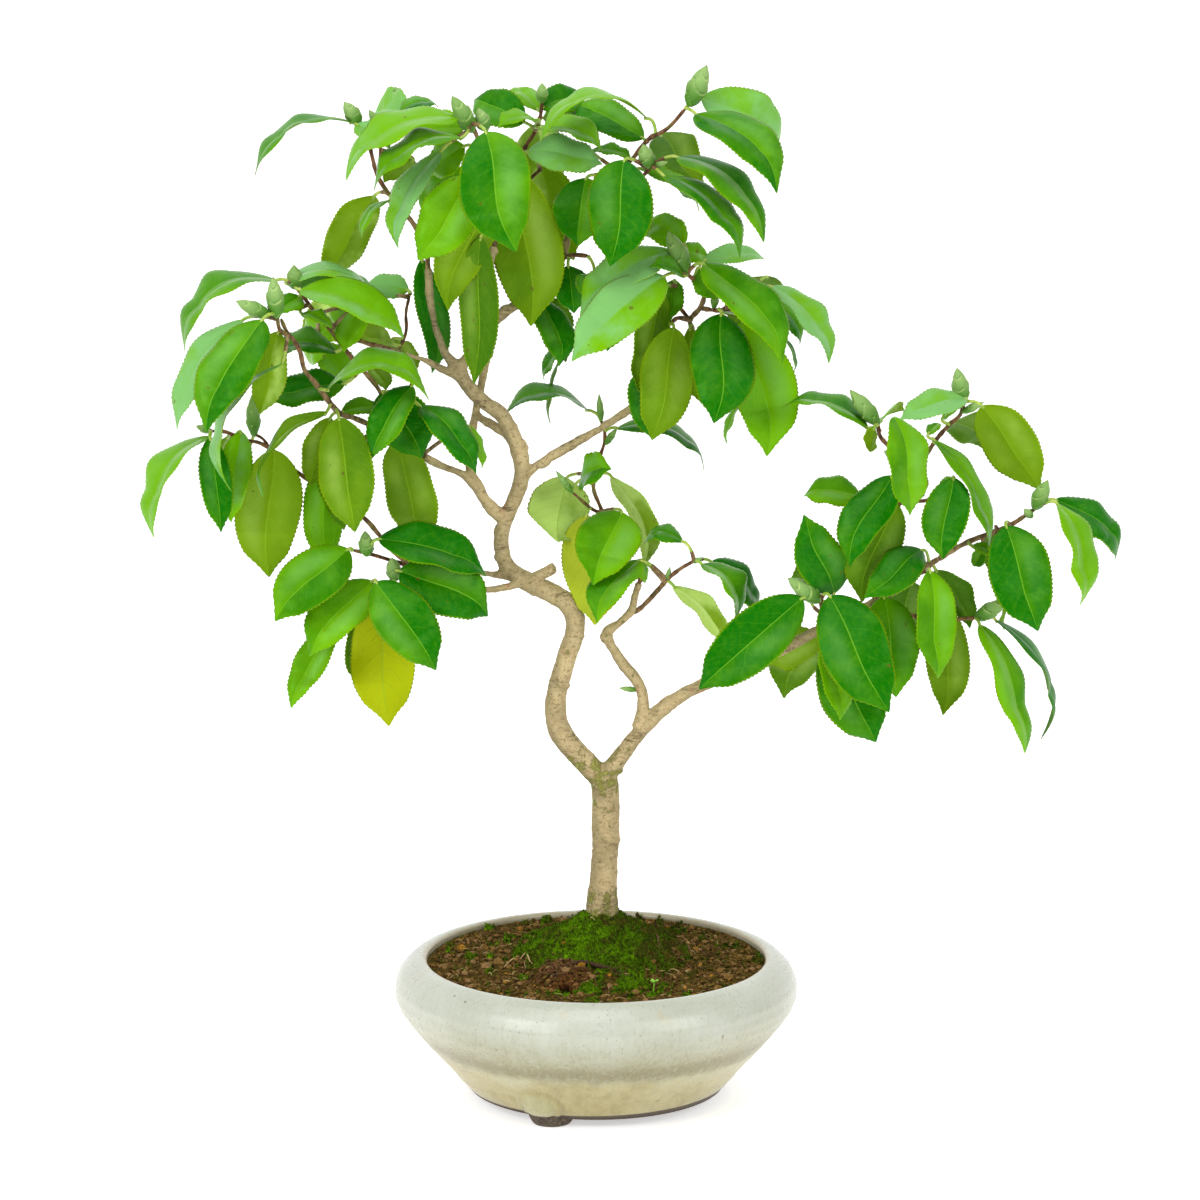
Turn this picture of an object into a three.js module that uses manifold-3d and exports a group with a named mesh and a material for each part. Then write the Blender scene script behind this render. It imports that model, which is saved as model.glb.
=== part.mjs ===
// A japanese camellia grown as a bonsai, standing in a round glazed stoneware bowl
// Millimetres, +Z up, the viewer looks along +Y, the feet stand on z = 0
import * as THREE from 'three';
import { mergeVertices } from 'three/addons/utils/BufferGeometryUtils.js';
import Module from 'manifold-3d';

const manifold = await Module();
manifold.setup();

// Driving dimensions of the bowl
const bowlRadius = 102;
const bowlHeight = 71.4;
const rimOpeningRadius = 86;
const bowlFloorTop = 12.5;
const bowlUnderside = 4.5;
const drainHoleRadius = 11;
const footRadiusTop = 12;
const footRadiusBottom = 9;
const footCircleRadius = 57;
const footCount = 3;
const frontFootAngle = THREE.MathUtils.degToRad(-112.7);
const bowlSegments = 32;

// Driving dimensions of what fills the bowl
const gap = 0.3;
const soilLevel = 64.5;
const moundHeight = 27;
const moundRadius = 68;
const mossThickness = 2;
const mossReach = 52;
const mossThinning = 0.55;
const screenRadius = 17;
const screenThickness = 1;
const screenHole = 6;
const trunkHoleRadius = 9.2;
const trunkHoleDepth = 30;
const trunkFoot = new THREE.Vector2(3, 6.75);

// The sheet on which the plant is sketched: it hangs in the plane through the trunk, square to
// the line from the viewpoint to the sheet's centre, and is sheetSize wide and high
const sheetSize = 600;
const viewDistance = 1950;
const viewPitch = THREE.MathUtils.degToRad(10.2);
const viewHeight = 600;
const bowlAxisOnSheet = 298;

// Sketched depths are shallower than the plant by this factor
const depthSpread = 1.35;

// The plant's centre of width and depth lies over the origin, so the bowl stands beside it
const bowlOffset = new THREE.Vector3(-20, 0, 0);

// Sizes of the plant's repeats
const bladeThickness = 1.2;
const bladeFold = 0.26;
const bladeFoldSpread = 0.25;
const bladeStations = [0, 0.22, 0.55, 0.84];
const petioleWidth = 2;
const petioleThickness = 1.8;
const rootDepth = 0.6;
const twigSides = 4;
const limbSides = 6;
const budSides = 5;

// A direction that no twig runs along: the first corner of every round section looks this way
const cornerHint = new THREE.Vector3(0.3, -1, 0.1);

// A seeded draw between -1 and 1
let drawState = 20260;
function draw() {
  drawState = (drawState * 1103515245 + 12345) % 2147483648;
  return drawState / 1073741824 - 1;
}

// The point at sketched depth d behind the trunk's plane that is seen at (u, v) on the sheet
const eye = new THREE.Vector3(
  sheetSize / 2 - bowlAxisOnSheet,
  -viewDistance * Math.cos(viewPitch),
  viewHeight,
);
function place([u, v, d]) {
  const across = (u - sheetSize / 2) / viewDistance;
  const up = (v - sheetSize / 2) / viewDistance;
  const sight = new THREE.Vector3(
    across,
    Math.cos(viewPitch) + up * Math.sin(viewPitch),
    -Math.sin(viewPitch) + up * Math.cos(viewPitch),
  );
  return eye.clone().addScaledVector(sight, (depthSpread * d - eye.y) / sight.y);
}

// A closed solid through rings of equal length, each end capped flat or drawn to a point
function loft(rings) {
  const positions = [];
  const starts = [];
  for (const ring of rings) {
    starts.push(positions.length / 3);
    for (const point of ring) positions.push(point.x, point.y, point.z);
  }
  const faces = [];
  for (let k = 0; k + 1 < rings.length; k += 1) {
    const from = rings[k];
    const to = rings[k + 1];
    const count = Math.max(from.length, to.length);
    for (let i = 0; i < count; i += 1) {
      const next = (i + 1) % count;
      if (to.length === 1) faces.push(starts[k] + i, starts[k] + next, starts[k + 1]);
      else if (from.length === 1) faces.push(starts[k], starts[k + 1] + next, starts[k + 1] + i);
      else {
        faces.push(starts[k] + i, starts[k] + next, starts[k + 1] + next);
        faces.push(starts[k] + i, starts[k + 1] + next, starts[k + 1] + i);
      }
    }
  }
  const last = rings.length - 1;
  for (let i = 1; i + 1 < rings[0].length; i += 1) {
    faces.push(starts[0], starts[0] + i + 1, starts[0] + i);
  }
  for (let i = 1; i + 1 < rings[last].length; i += 1) {
    faces.push(starts[last], starts[last] + i, starts[last] + i + 1);
  }
  return closed(positions, faces);
}

// Indexed geometry whose faces point out, whichever way round the outline was given
function closed(positions, faces) {
  const geometry = new THREE.BufferGeometry();
  geometry.setAttribute('position', new THREE.Float32BufferAttribute(positions, 3));
  const corner = [new THREE.Vector3(), new THREE.Vector3(), new THREE.Vector3()];
  let volume = 0;
  for (let i = 0; i < faces.length; i += 3) {
    corner.forEach((vector, k) => vector.fromArray(positions, faces[i + k] * 3));
    volume += corner[0].dot(corner[1].clone().cross(corner[2]));
  }
  geometry.setIndex(volume < 0 ? faces.slice().reverse() : faces);
  return geometry;
}

// Only positions, with shared corners merged
function welded(geometry) {
  for (const name of Object.keys(geometry.attributes)) {
    if (name !== 'position') geometry.deleteAttribute(name);
  }
  return mergeVertices(geometry, 1e-4);
}

function toManifold(geometry) {
  return new manifold.Manifold(new manifold.Mesh({
    numProp: 3,
    vertProperties: new Float32Array(geometry.attributes.position.array),
    triVerts: new Uint32Array(geometry.index.array),
  }));
}

function fromManifold(body) {
  const mesh = body.getMesh();
  const geometry = new THREE.BufferGeometry();
  geometry.setAttribute('position', new THREE.Float32BufferAttribute(mesh.vertProperties, 3));
  geometry.setIndex(Array.from(mesh.triVerts));
  return geometry;
}

// One body out of many that run into each other, with any hollow sealed between them filled
function fused(geometries) {
  const joined = geometries.map(toManifold).reduce((all, one) => all.add(one));
  const bodies = joined.decompose();
  return fromManifold(bodies.reduce((best, one) => (one.volume() > best.volume() ? one : best)));
}

// A side square to the direction, as close as can be to the one given
function sideAcross(direction, like) {
  return like.clone().projectOnPlane(direction).normalize();
}

// A round of points about a centre, across the given direction
function ringAcross(centre, direction, side, radius, sides) {
  const up = direction.clone().cross(side);
  return Array.from({ length: sides }, (_, i) => {
    const angle = (2 * Math.PI * i) / sides;
    return centre.clone()
      .addScaledVector(side, radius * Math.cos(angle))
      .addScaledVector(up, radius * Math.sin(angle));
  });
}

function curveThrough(points) {
  return new THREE.CatmullRomCurve3(points, false, 'centripetal');
}

// Wood along sketched points [u, v, depth, radius]; a seat gives it another start
function limb(points, sides, seat) {
  const path = points.map(place);
  if (seat) path[0] = seat.point;
  const curve = curveThrough(path);
  let side = cornerHint;
  const rings = points.map(([, , , radius], k) => {
    const direction = seat && k === 0 ? seat.direction : curve.getTangent(k / (points.length - 1));
    side = sideAcross(direction, side);
    return ringAcross(path[k], direction, side, radius, sides);
  });
  return loft(rings);
}

// Where a twig that starts near a point leaves the wood it grows from, and which way: a gap
// beyond that wood's end, or a gap off its side
function seatOn(hosts, point) {
  let nearest = null;
  for (const host of hosts) {
    for (let k = 0; k + 1 < host.length; k += 1) {
      const line = new THREE.Line3(place(host[k]), place(host[k + 1]));
      const share = line.closestPointToPointParameter(point, true);
      const spot = line.at(share, new THREE.Vector3());
      const distance = spot.distanceTo(point);
      if (!nearest || distance < nearest.distance) nearest = { host, k, line, share, spot, distance };
    }
  }
  const { host, k, line, share, spot } = nearest;
  if (share === 1 && k + 2 === host.length) {
    const direction = curveThrough(host.map(place)).getTangent(1);
    return { point: spot.addScaledVector(direction, gap), direction };
  }
  const run = line.delta(new THREE.Vector3()).normalize();
  const radius = THREE.MathUtils.lerp(host[k][3], host[k + 1][3], share);
  const direction = point.clone().sub(spot).projectOnPlane(run).normalize();
  return { point: spot.addScaledVector(direction, radius + gap), direction };
}

// The bowl: a turned wall with a rolled-in rim and a drain hole, on three stub feet, each with
// the thumb-pressed boss that joins it to the wall
function bowl() {
  const profile = [
    [drainHoleRadius, bowlUnderside], [64, bowlUnderside], [69, 9.8], [75.6, 18],
    [84.8, 28], [93.6, 38.5], [99.6, 47], [bowlRadius, 56], [99.8, 64],
    [94.2, 69.3], [89, bowlHeight], [rimOpeningRadius, 70],
    [86.4, 67], [92, 59.5], [94.2, 52], [86, 36], [70, 17.8],
    [64, bowlFloorTop], [drainHoleRadius, bowlFloorTop],
  ];
  const ring = profile.concat([profile[0]]).map(([r, z]) => new THREE.Vector2(r, z));
  const wall = new THREE.LatheGeometry(ring, bowlSegments).rotateX(Math.PI / 2);
  const footHeight = bowlUnderside + 4;
  const footSides = 10;
  const bossHalfWidth = 12;
  const bossHalfDepth = 4.5;
  const bossHalfHeight = 6;
  const bossRadius = 72;
  const bossMiddleHeight = 12;
  const parts = [toManifold(closedFrom(welded(wall)))];
  for (let k = 0; k < footCount; k += 1) {
    const angle = frontFootAngle + (2 * Math.PI * k) / footCount;
    const foot = new THREE.CylinderGeometry(footRadiusTop, footRadiusBottom, footHeight, footSides)
      .rotateX(Math.PI / 2)
      .translate(footCircleRadius, 0, footHeight / 2);
    const boss = new THREE.SphereGeometry(1, 8, 4)
      .scale(bossHalfDepth, bossHalfWidth, bossHalfHeight)
      .translate(bossRadius, 0, bossMiddleHeight);
    for (const piece of [foot, boss]) {
      piece.rotateZ(angle);
      parts.push(toManifold(closedFrom(welded(piece))));
    }
  }
  return fromManifold(parts.reduce((all, one) => all.add(one)));
}

// A library geometry rebuilt with its faces pointing out, without faces that have no area
function closedFrom(geometry) {
  const corners = geometry.index.array;
  const faces = [];
  for (let i = 0; i < corners.length; i += 3) {
    const [a, b, c] = corners.slice(i, i + 3);
    if (a !== b && b !== c && c !== a) faces.push(a, b, c);
  }
  return closed(Array.from(geometry.attributes.position.array), faces);
}

// The plastic mesh disc over the drain hole, which holds the soil in
function drainScreen() {
  const screenBar = 2;
  const pitch = screenHole + screenBar;
  const middleHeight = bowlFloorTop + gap + screenThickness / 2;
  const disc = new THREE.CylinderGeometry(screenRadius, screenRadius, screenThickness, 24)
    .rotateX(Math.PI / 2)
    .translate(0, 0, middleHeight);
  let screen = toManifold(closedFrom(welded(disc)));
  for (const row of [-1, 0, 1]) {
    for (const column of [-1, 0, 1]) {
      const hole = new THREE.BoxGeometry(screenHole, screenHole, 2 * screenThickness)
        .translate(column * pitch, row * pitch, middleHeight);
      screen = screen.subtract(toManifold(closedFrom(welded(hole))));
    }
  }
  return fromManifold(screen);
}

// The mound is rounded at the trunk and runs out gently into the level soil
function groundHeight(distance) {
  const crownRoundness = 1.8;
  const skirtSoftness = 1.3;
  const t = Math.min(distance / moundRadius, 1);
  return soilLevel + moundHeight * (1 - t ** crownRoundness) ** skirtSoftness;
}

// How far the moss spreads round the trunk in each direction: a broad lobe and small ones
function mossEdge(angle) {
  const broadLobe = 7 * Math.sin(2 * angle + 0.6);
  const smallLobes = 4 * Math.sin(5 * angle + 2);
  return mossReach + broadLobe + smallLobes;
}

// A ring of ground points: near the trunk it is centred on the trunk, further out it takes the
// bowl's own circle
function groundRing(share, lift, reach = 1) {
  const outer = rimOpeningRadius + 1.6;
  return Array.from({ length: bowlSegments }, (_, i) => {
    const angle = (2 * Math.PI * i) / bowlSegments;
    const inner = mossEdge(angle) * reach;
    const distance = share <= 1
      ? THREE.MathUtils.lerp(trunkHoleRadius, inner, share)
      : THREE.MathUtils.lerp(inner, outer, share - 1);
    const centre = trunkFoot.clone().multiplyScalar(share <= 1 ? 1 : 2 - share);
    const height = groundHeight(distance) + lift;
    return new THREE.Vector3(
      centre.x + distance * Math.cos(angle),
      centre.y + distance * Math.sin(angle),
      height,
    );
  });
}

function circle(radius, z, centre = new THREE.Vector2()) {
  return Array.from({ length: bowlSegments }, (_, i) => {
    const angle = (2 * Math.PI * i) / bowlSegments;
    return new THREE.Vector3(
      centre.x + radius * Math.cos(angle),
      centre.y + radius * Math.sin(angle),
      z,
    );
  });
}

const groundTop = groundHeight(trunkHoleRadius);
const mossShares = [0, 0.25, 0.5, 0.75, 1];
const bareShares = [1.4, 1.75, 2];

// The soil: the mound above, the plain hole for the trunk, and the bowl's inside below
function soil() {
  const holeBottom = groundTop - trunkHoleDepth;
  return loft([
    [new THREE.Vector3(trunkFoot.x, trunkFoot.y, holeBottom)],
    circle(trunkHoleRadius, holeBottom, trunkFoot),
    ...mossShares.map((share) => groundRing(share, 0)),
    ...bareShares.map((share) => groundRing(share, 0)),
    circle(91.6, 59.3),
    circle(93.8, 52),
    circle(85.6, 36.2),
    circle(69.6, 18.1),
    circle(63.7, bowlFloorTop + gap),
    circle(screenRadius + gap, bowlFloorTop + gap),
    circle(screenRadius + gap, bowlFloorTop + screenThickness + 2 * gap),
    [new THREE.Vector3(0, 0, bowlFloorTop + screenThickness + 2 * gap)],
  ]);
}

// The moss: a cushion of even thickness that thins towards its ragged edge
function moss() {
  const upper = mossShares.map((share) => {
    const thickness = mossThickness * (1 - mossThinning * share ** 2);
    return groundRing(share, gap + thickness);
  });
  const lower = mossShares.map((share) => groundRing(share, gap)).reverse();
  return loftRound([...upper, ...lower]);
}

// A ring-shaped solid: the last round of points joins the first
function loftRound(rings) {
  const count = rings[0].length;
  const positions = rings.flat().flatMap((point) => [point.x, point.y, point.z]);
  const faces = [];
  rings.forEach((_, k) => {
    const here = k * count;
    const there = ((k + 1) % rings.length) * count;
    for (let i = 0; i < count; i += 1) {
      const next = (i + 1) % count;
      faces.push(here + i, here + next, there + next, here + i, there + next, there + i);
    }
  });
  return closed(positions, faces);
}

// Trunk and limbs, each as sketched points [u, v, depth, radius]; the trunk's foot runs down
// into its hole in the soil
const limbs = [
  [[301, 131, 5, 8.2], [301, 143, 5, 8.2], [302.5, 170, 4, 7], [303, 200, 3, 6.9], [301.5, 214, 1, 7]],
  [[302, 210, 2, 6.4], [294, 217.5, 0, 5.8], [280.5, 233.5, -2, 5.6], [277.8, 250, -4, 5.2],
    [283, 270, -5, 5.1], [287.6, 286, -4, 5], [285, 297, -2, 5.2], [277.5, 302.5, 0, 5.1],
    [262, 310, 3, 4.8], [253, 318, 4, 4.2], [250.6, 331, 4, 4], [255, 345, 3, 4],
    [259.5, 356, 2, 4], [261, 367, 0, 4], [258.5, 378, -2, 4], [251.5, 392, -4, 3.8],
    [241, 399.5, -4, 3.6], [232, 410, -4, 3.6], [229, 419, -4, 3.6]],
  [[301.5, 210, 1, 5.6], [308, 219, -1, 4.6], [318.5, 232.5, -4, 4.2], [333, 247, -8, 3.7],
    [352, 258, -12, 3.5], [376, 268, -16, 3.2], [399, 279.5, -18, 3], [413, 287, -18, 2.7],
    [428, 294, -17, 2.5], [441, 300.5, -16, 2.4]],
  [[319, 236, -5, 3.2], [321.3, 248, -6, 3], [319.5, 258, -6, 2.9], [311.5, 268, -4, 2.7],
    [306, 277, -2, 2.6], [303.6, 283.5, 0, 3], [309, 288, 0, 2.5], [315.5, 294, -1, 2.5],
    [317.5, 302, -1, 2.1], [319.6, 308.5, -1, 2.2]],
  [[262, 310, 3, 3], [269, 312, 0, 2.6], [277, 316, -3, 2.7]],
  [[256, 312, 3, 2.4], [248, 312.8, 4, 1.9], [238, 314, 6, 1.7], [226, 317, 8, 1.6]],
  [[261, 308.5, 2, 2.4], [248, 305.5, -4, 1.7], [238, 305.6, -9, 1.6], [226, 308.5, -14, 1.5]],
  [[251, 341, 3, 3.6], [243, 349.5, 1, 3.2], [236.5, 359.5, 0, 3.2], [230, 363.5, -2, 2.4],
    [221, 367, -5, 2.2], [211.5, 371.8, -9, 2.1]],
  [[236.3, 358, 0, 2.8], [235.2, 366, 2, 2.5], [235.6, 378, 5, 2.3], [237, 390, 7, 2.2],
    [239.4, 401, 6, 2.2], [241.5, 412, 5, 2.1], [244.5, 425, 4, 1.9], [247.6, 436, 4, 1.8]],
  [[258.5, 373, -1, 3], [254.5, 382, 0, 2.9], [247, 387, 2, 2.7], [240.5, 391, 5, 2.3],
    [237.2, 394, 7, 2.1]],
  [[261, 361, 1, 3], [269, 367.5, 2, 2.4], [288, 378.8, 5, 2.3], [307, 390, 9, 2.1],
    [323, 402.5, 12, 1.9], [336, 418, 13, 1.7]],
  [[229.5, 415, -4, 3.2], [222.5, 424, -5, 2.2], [218, 436, -7, 2], [215.2, 450, -9, 1.9],
    [214, 466, -11, 1.7]],
  [[231, 411, -4, 3], [222, 415, -6, 1.9], [212, 420, -9, 1.6], [202, 423, -11, 1.6]],
  [[229, 415, -4, 3.2], [237, 426, -5, 2.8], [242, 435, -5, 2.7], [251, 443, -4, 2.7],
    [261, 449.5, -2, 2.6], [269.5, 458, 1, 2.4], [277.5, 467, 4, 2.2]],
  [[237, 427, -5, 2.6], [241, 441, -6, 2.3], [244, 461, -8, 2.2], [247, 477, -9, 2]],
];

function trunkAndLimbs() {
  return fused(limbs.map((points) => limb(points, limbSides)));
}

// Half the blade's width at share s of its length, against half its greatest width
function bladeOutline(s) {
  return Math.sin(Math.PI * s ** 0.9) ** 0.85;
}

// A leaf: the stalk rises from inside its twig, and the blade runs from its base to its drip tip,
// folded up along the midrib and arched. A turn of 0 shows the viewer its upper face, 90 its edge
// and 180 its underside
function leaf([bu, bv, bd, tu, tv, td, width, arch, turn], twigs) {
  const base = place([bu, bv, bd]);
  const tip = place([tu, tv, td]);
  const root = nearestOnTwigs(twigs, base);
  const stalk = base.clone().sub(root);
  const stalked = stalk.length() > petioleWidth;
  if (!stalked) base.copy(root).addScaledVector(tip.clone().sub(root).normalize(), -rootDepth);
  const chord = tip.clone().sub(base);
  const along = chord.clone().normalize();
  const towardsViewer = new THREE.Vector3(0, -1, 0).projectOnPlane(along).normalize();
  const outward = towardsViewer.clone().cross(along).multiplyScalar(Math.sign(along.x) || 1);
  const angle = THREE.MathUtils.degToRad(turn);
  const face = towardsViewer.multiplyScalar(Math.cos(angle))
    .addScaledVector(outward, Math.sin(angle));
  const side = along.clone().cross(face);
  const crossSection = (middle, across, up, half, thickness, lift) => [
    middle.clone().addScaledVector(across, -half).addScaledVector(up, lift),
    middle.clone().addScaledVector(up, thickness / 2),
    middle.clone().addScaledVector(across, half).addScaledVector(up, lift),
    middle.clone().addScaledVector(up, -thickness / 2),
  ];
  const rings = bladeStations.map((s) => {
    const half = Math.max((width / 2) * bladeOutline(s), petioleWidth / 2);
    const lift = bladeFold * half * (1 + bladeFoldSpread * draw()) * Math.sin(Math.PI * s) ** 0.5;
    const middle = base.clone().addScaledVector(chord, s).addScaledVector(face, arch * 4 * s * (1 - s));
    return crossSection(middle, side, face, half, bladeThickness, lift);
  });
  rings.push([tip]);
  if (stalked) {
    const run = stalk.normalize();
    const stalkSection = (middle, direction) => {
      const bend = new THREE.Quaternion().setFromUnitVectors(along, direction);
      const across = side.clone().applyQuaternion(bend);
      const up = face.clone().applyQuaternion(bend);
      return crossSection(middle, across, up, petioleWidth / 2, petioleThickness, 0);
    };
    rings[0] = stalkSection(base, run.clone().add(along).normalize());
    rings.unshift(stalkSection(root.addScaledVector(run, -rootDepth), run));
  }
  return loft(rings);
}

// The point of the spray's twigs that lies nearest
function nearestOnTwigs(twigs, point) {
  let best = null;
  for (const twig of twigs) {
    for (let k = 0; k + 1 < twig.length; k += 1) {
      const line = new THREE.Line3(place(twig[k]), place(twig[k + 1]));
      const candidate = line.closestPointToPoint(point, true, new THREE.Vector3());
      if (!best || candidate.distanceTo(point) < best.distanceTo(point)) best = candidate;
    }
  }
  return best;
}

// A scaly bud from its twig to its tip, [tip u, v, depth, diameter, base u, v, depth]
function bud([tu, tv, td, diameter, bu, bv, bd]) {
  const base = place([bu, bv, bd]);
  const axis = place([tu, tv, td]).sub(base);
  const direction = axis.clone().normalize();
  const side = sideAcross(direction, cornerHint);
  const shape = [[-0.08, 0.4], [0.2, 0.9], [0.5, 1], [0.8, 0.5]];
  const rings = shape.map(([s, share]) => (
    ringAcross(base.clone().addScaledVector(axis, s), direction, side, (share * diameter) / 2, budSides)
  ));
  rings.push([base.clone().add(axis)]);
  return loft(rings);
}

// A spray of leaves and buds on its twigs; the first twig grows from a limb or another spray's twig
function spray({ twigs, leaves, buds }) {
  const others = Object.values(sprays).flatMap((other) => (other.twigs === twigs ? [] : other.twigs));
  const seat = seatOn([...limbs, ...others], place(twigs[0][0]));
  const wood = twigs.map((points, k) => limb(points, twigSides, k === 0 ? seat : undefined));
  return fused([...wood, ...leaves.map((row) => leaf(row, twigs)), ...buds.map(bud)]);
}

// Every leafy spray of the plant. Twigs are sketched points [u, v, depth, radius], leaves are
// [base u, v, depth, tip u, v, depth, width, arch, turn]
const crownSprays = {
  spray_crown_far_left: {
    twigs: [
      [[213.2, 474, -12, 1.6], [208, 486, -14, 1.5], [202, 494, -15, 1.4], [196, 501, -16, 1.3],
        [191, 508, -18, 1.2], [188, 514, -19, 1.2], [186, 522, -20, 1.1], [183.5, 531, -20, 1],
        [178, 538, -20, 1]],
      [[189, 511, -18, 1], [190, 522, -15, 0.9], [191, 531, -13, 0.9], [196, 539, -10, 0.9]],
    ],
    leaves: [
      [176, 539, -20, 127.5, 512.5, -30, 24, 12, 80],
      [187, 502, -10, 162, 457, 4, 22, 5, 155],
      [203, 545, -4, 188, 541, 14, 24, 4, 50],
    ],
    buds: [
      [172, 549, -20, 7.5, 179.5, 538.5, -20],
      [184.5, 545, -14, 6, 192, 533.5, -12.5],
    ],
  },
  spray_crown_left: {
    twigs: [
      [[247.3, 479, -9, 1.8], [249.5, 495, -12, 1.7], [247, 510, -16, 1.6], [241, 523, -22, 1.4],
        [238, 533, -26, 1.3], [235, 538, -28, 1.2]],
      [[241, 523, -22, 1.1], [243.5, 531, -25, 1.1], [242.5, 536, -26, 1.1]],
    ],
    leaves: [
      [229, 541, -30, 173, 510, -36, 26, 13, 62],
      [232, 536, -20, 202, 531, -6, 20, 3, 40],
      [231, 531, -36, 187, 505, -44, 22, 11, 66],
      [220, 524, -30, 199, 476, -34, 20, 8, 50],
      [232, 527, -17, 216, 513, -8, 18, 2, 30],
      [237, 511, -40, 209, 470, -46, 27, 5, 15],
      [243, 534, -42, 258, 474, -56, 34, 5, 4],
      [246, 503, -20, 224, 445, -30, 24, 3, 160],
      [240, 481, -22, 237, 408, -26, 19, 4, 168],
      [236, 514, 2, 214, 488, 22, 24, 4, 20],
    ],
    buds: [
      [226, 552, -30, 9, 236, 535, -28],
      [239, 546, -26, 7.5, 243, 535, -26],
    ],
  },
  spray_crown_middle: {
    twigs: [
      [[249.4, 487, -9, 1.4], [254, 500, 0, 1.4], [258, 515, 4, 1.3], [263, 527, 8, 1.2],
        [267.5, 534, 10, 1.2], [270, 541, 11, 1.1], [271, 549, 11, 1.1]],
      [[254, 500, 0, 1], [262, 508, 5, 1], [270, 515, 8, 1]],
    ],
    leaves: [
      [262, 539, 4, 237, 550, 16, 20, 4, 25],
      [271, 546, 12, 291, 553, 26, 17, 3, 30],
      [272, 541, 18, 298, 538, 30, 18, 3, 30],
      [270, 536, 0, 301, 524.5, -6, 20, 6, 62],
      [264, 524, 2, 301, 518, 0, 20, 5, 35],
      [258, 513, -2, 265.5, 437, -10, 35, -2, 174],
      [270, 517, 18, 287, 470, 16, 26, 0, 170],
      [268, 538, 18, 276, 500, 40, 24, 6, 175],
    ],
    buds: [[271, 558.5, 11, 6, 271, 549, 11]],
  },
  spray_crown_right: {
    twigs: [
      [[282.7, 475.6, 5, 1.9], [284.5, 483, 6, 1.8], [291, 495, 8, 1.7], [300, 508, 9, 1.5],
        [309, 516, 6, 1.4], [316, 520.5, 2, 1.3], [324, 530, -4, 1.2], [334, 536, -8, 1.1],
        [343, 546, -12, 1]],
      [[303, 510, 8, 1.2], [313, 510, 0, 1.1], [321, 512, -6, 1.1], [326, 517, -8, 1]],
    ],
    leaves: [
      [323.5, 541, -4, 270, 529, -16, 24, 17, 80],
      [321.5, 531, 4, 284, 545, 22, 20, 4, 42],
      [351, 551, -8, 389, 527, 10, 25, 10, 28],
      [348, 543, -16, 388.5, 503.5, -34, 27, 10, 44],
      [339, 521.5, -12, 382, 479, -26, 24, 13, 58],
      [332, 512, -16, 370, 471, -32, 22, 10, 60],
      [320, 516, -1, 349.5, 494.5, 4, 16, 4, 68],
      [312, 520, -16, 305, 467, -32, 31, 4, 2],
      [293, 511, -4, 289, 477, -12, 27, 3, 15],
      [330, 533, 4, 352, 506, 34, 24, 5, 160],
    ],
    buds: [
      [353.5, 567.5, -14, 10, 345, 548, -13],
      [321.5, 528, -10, 8, 324.5, 516.5, -8],
    ],
  },
};

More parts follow.
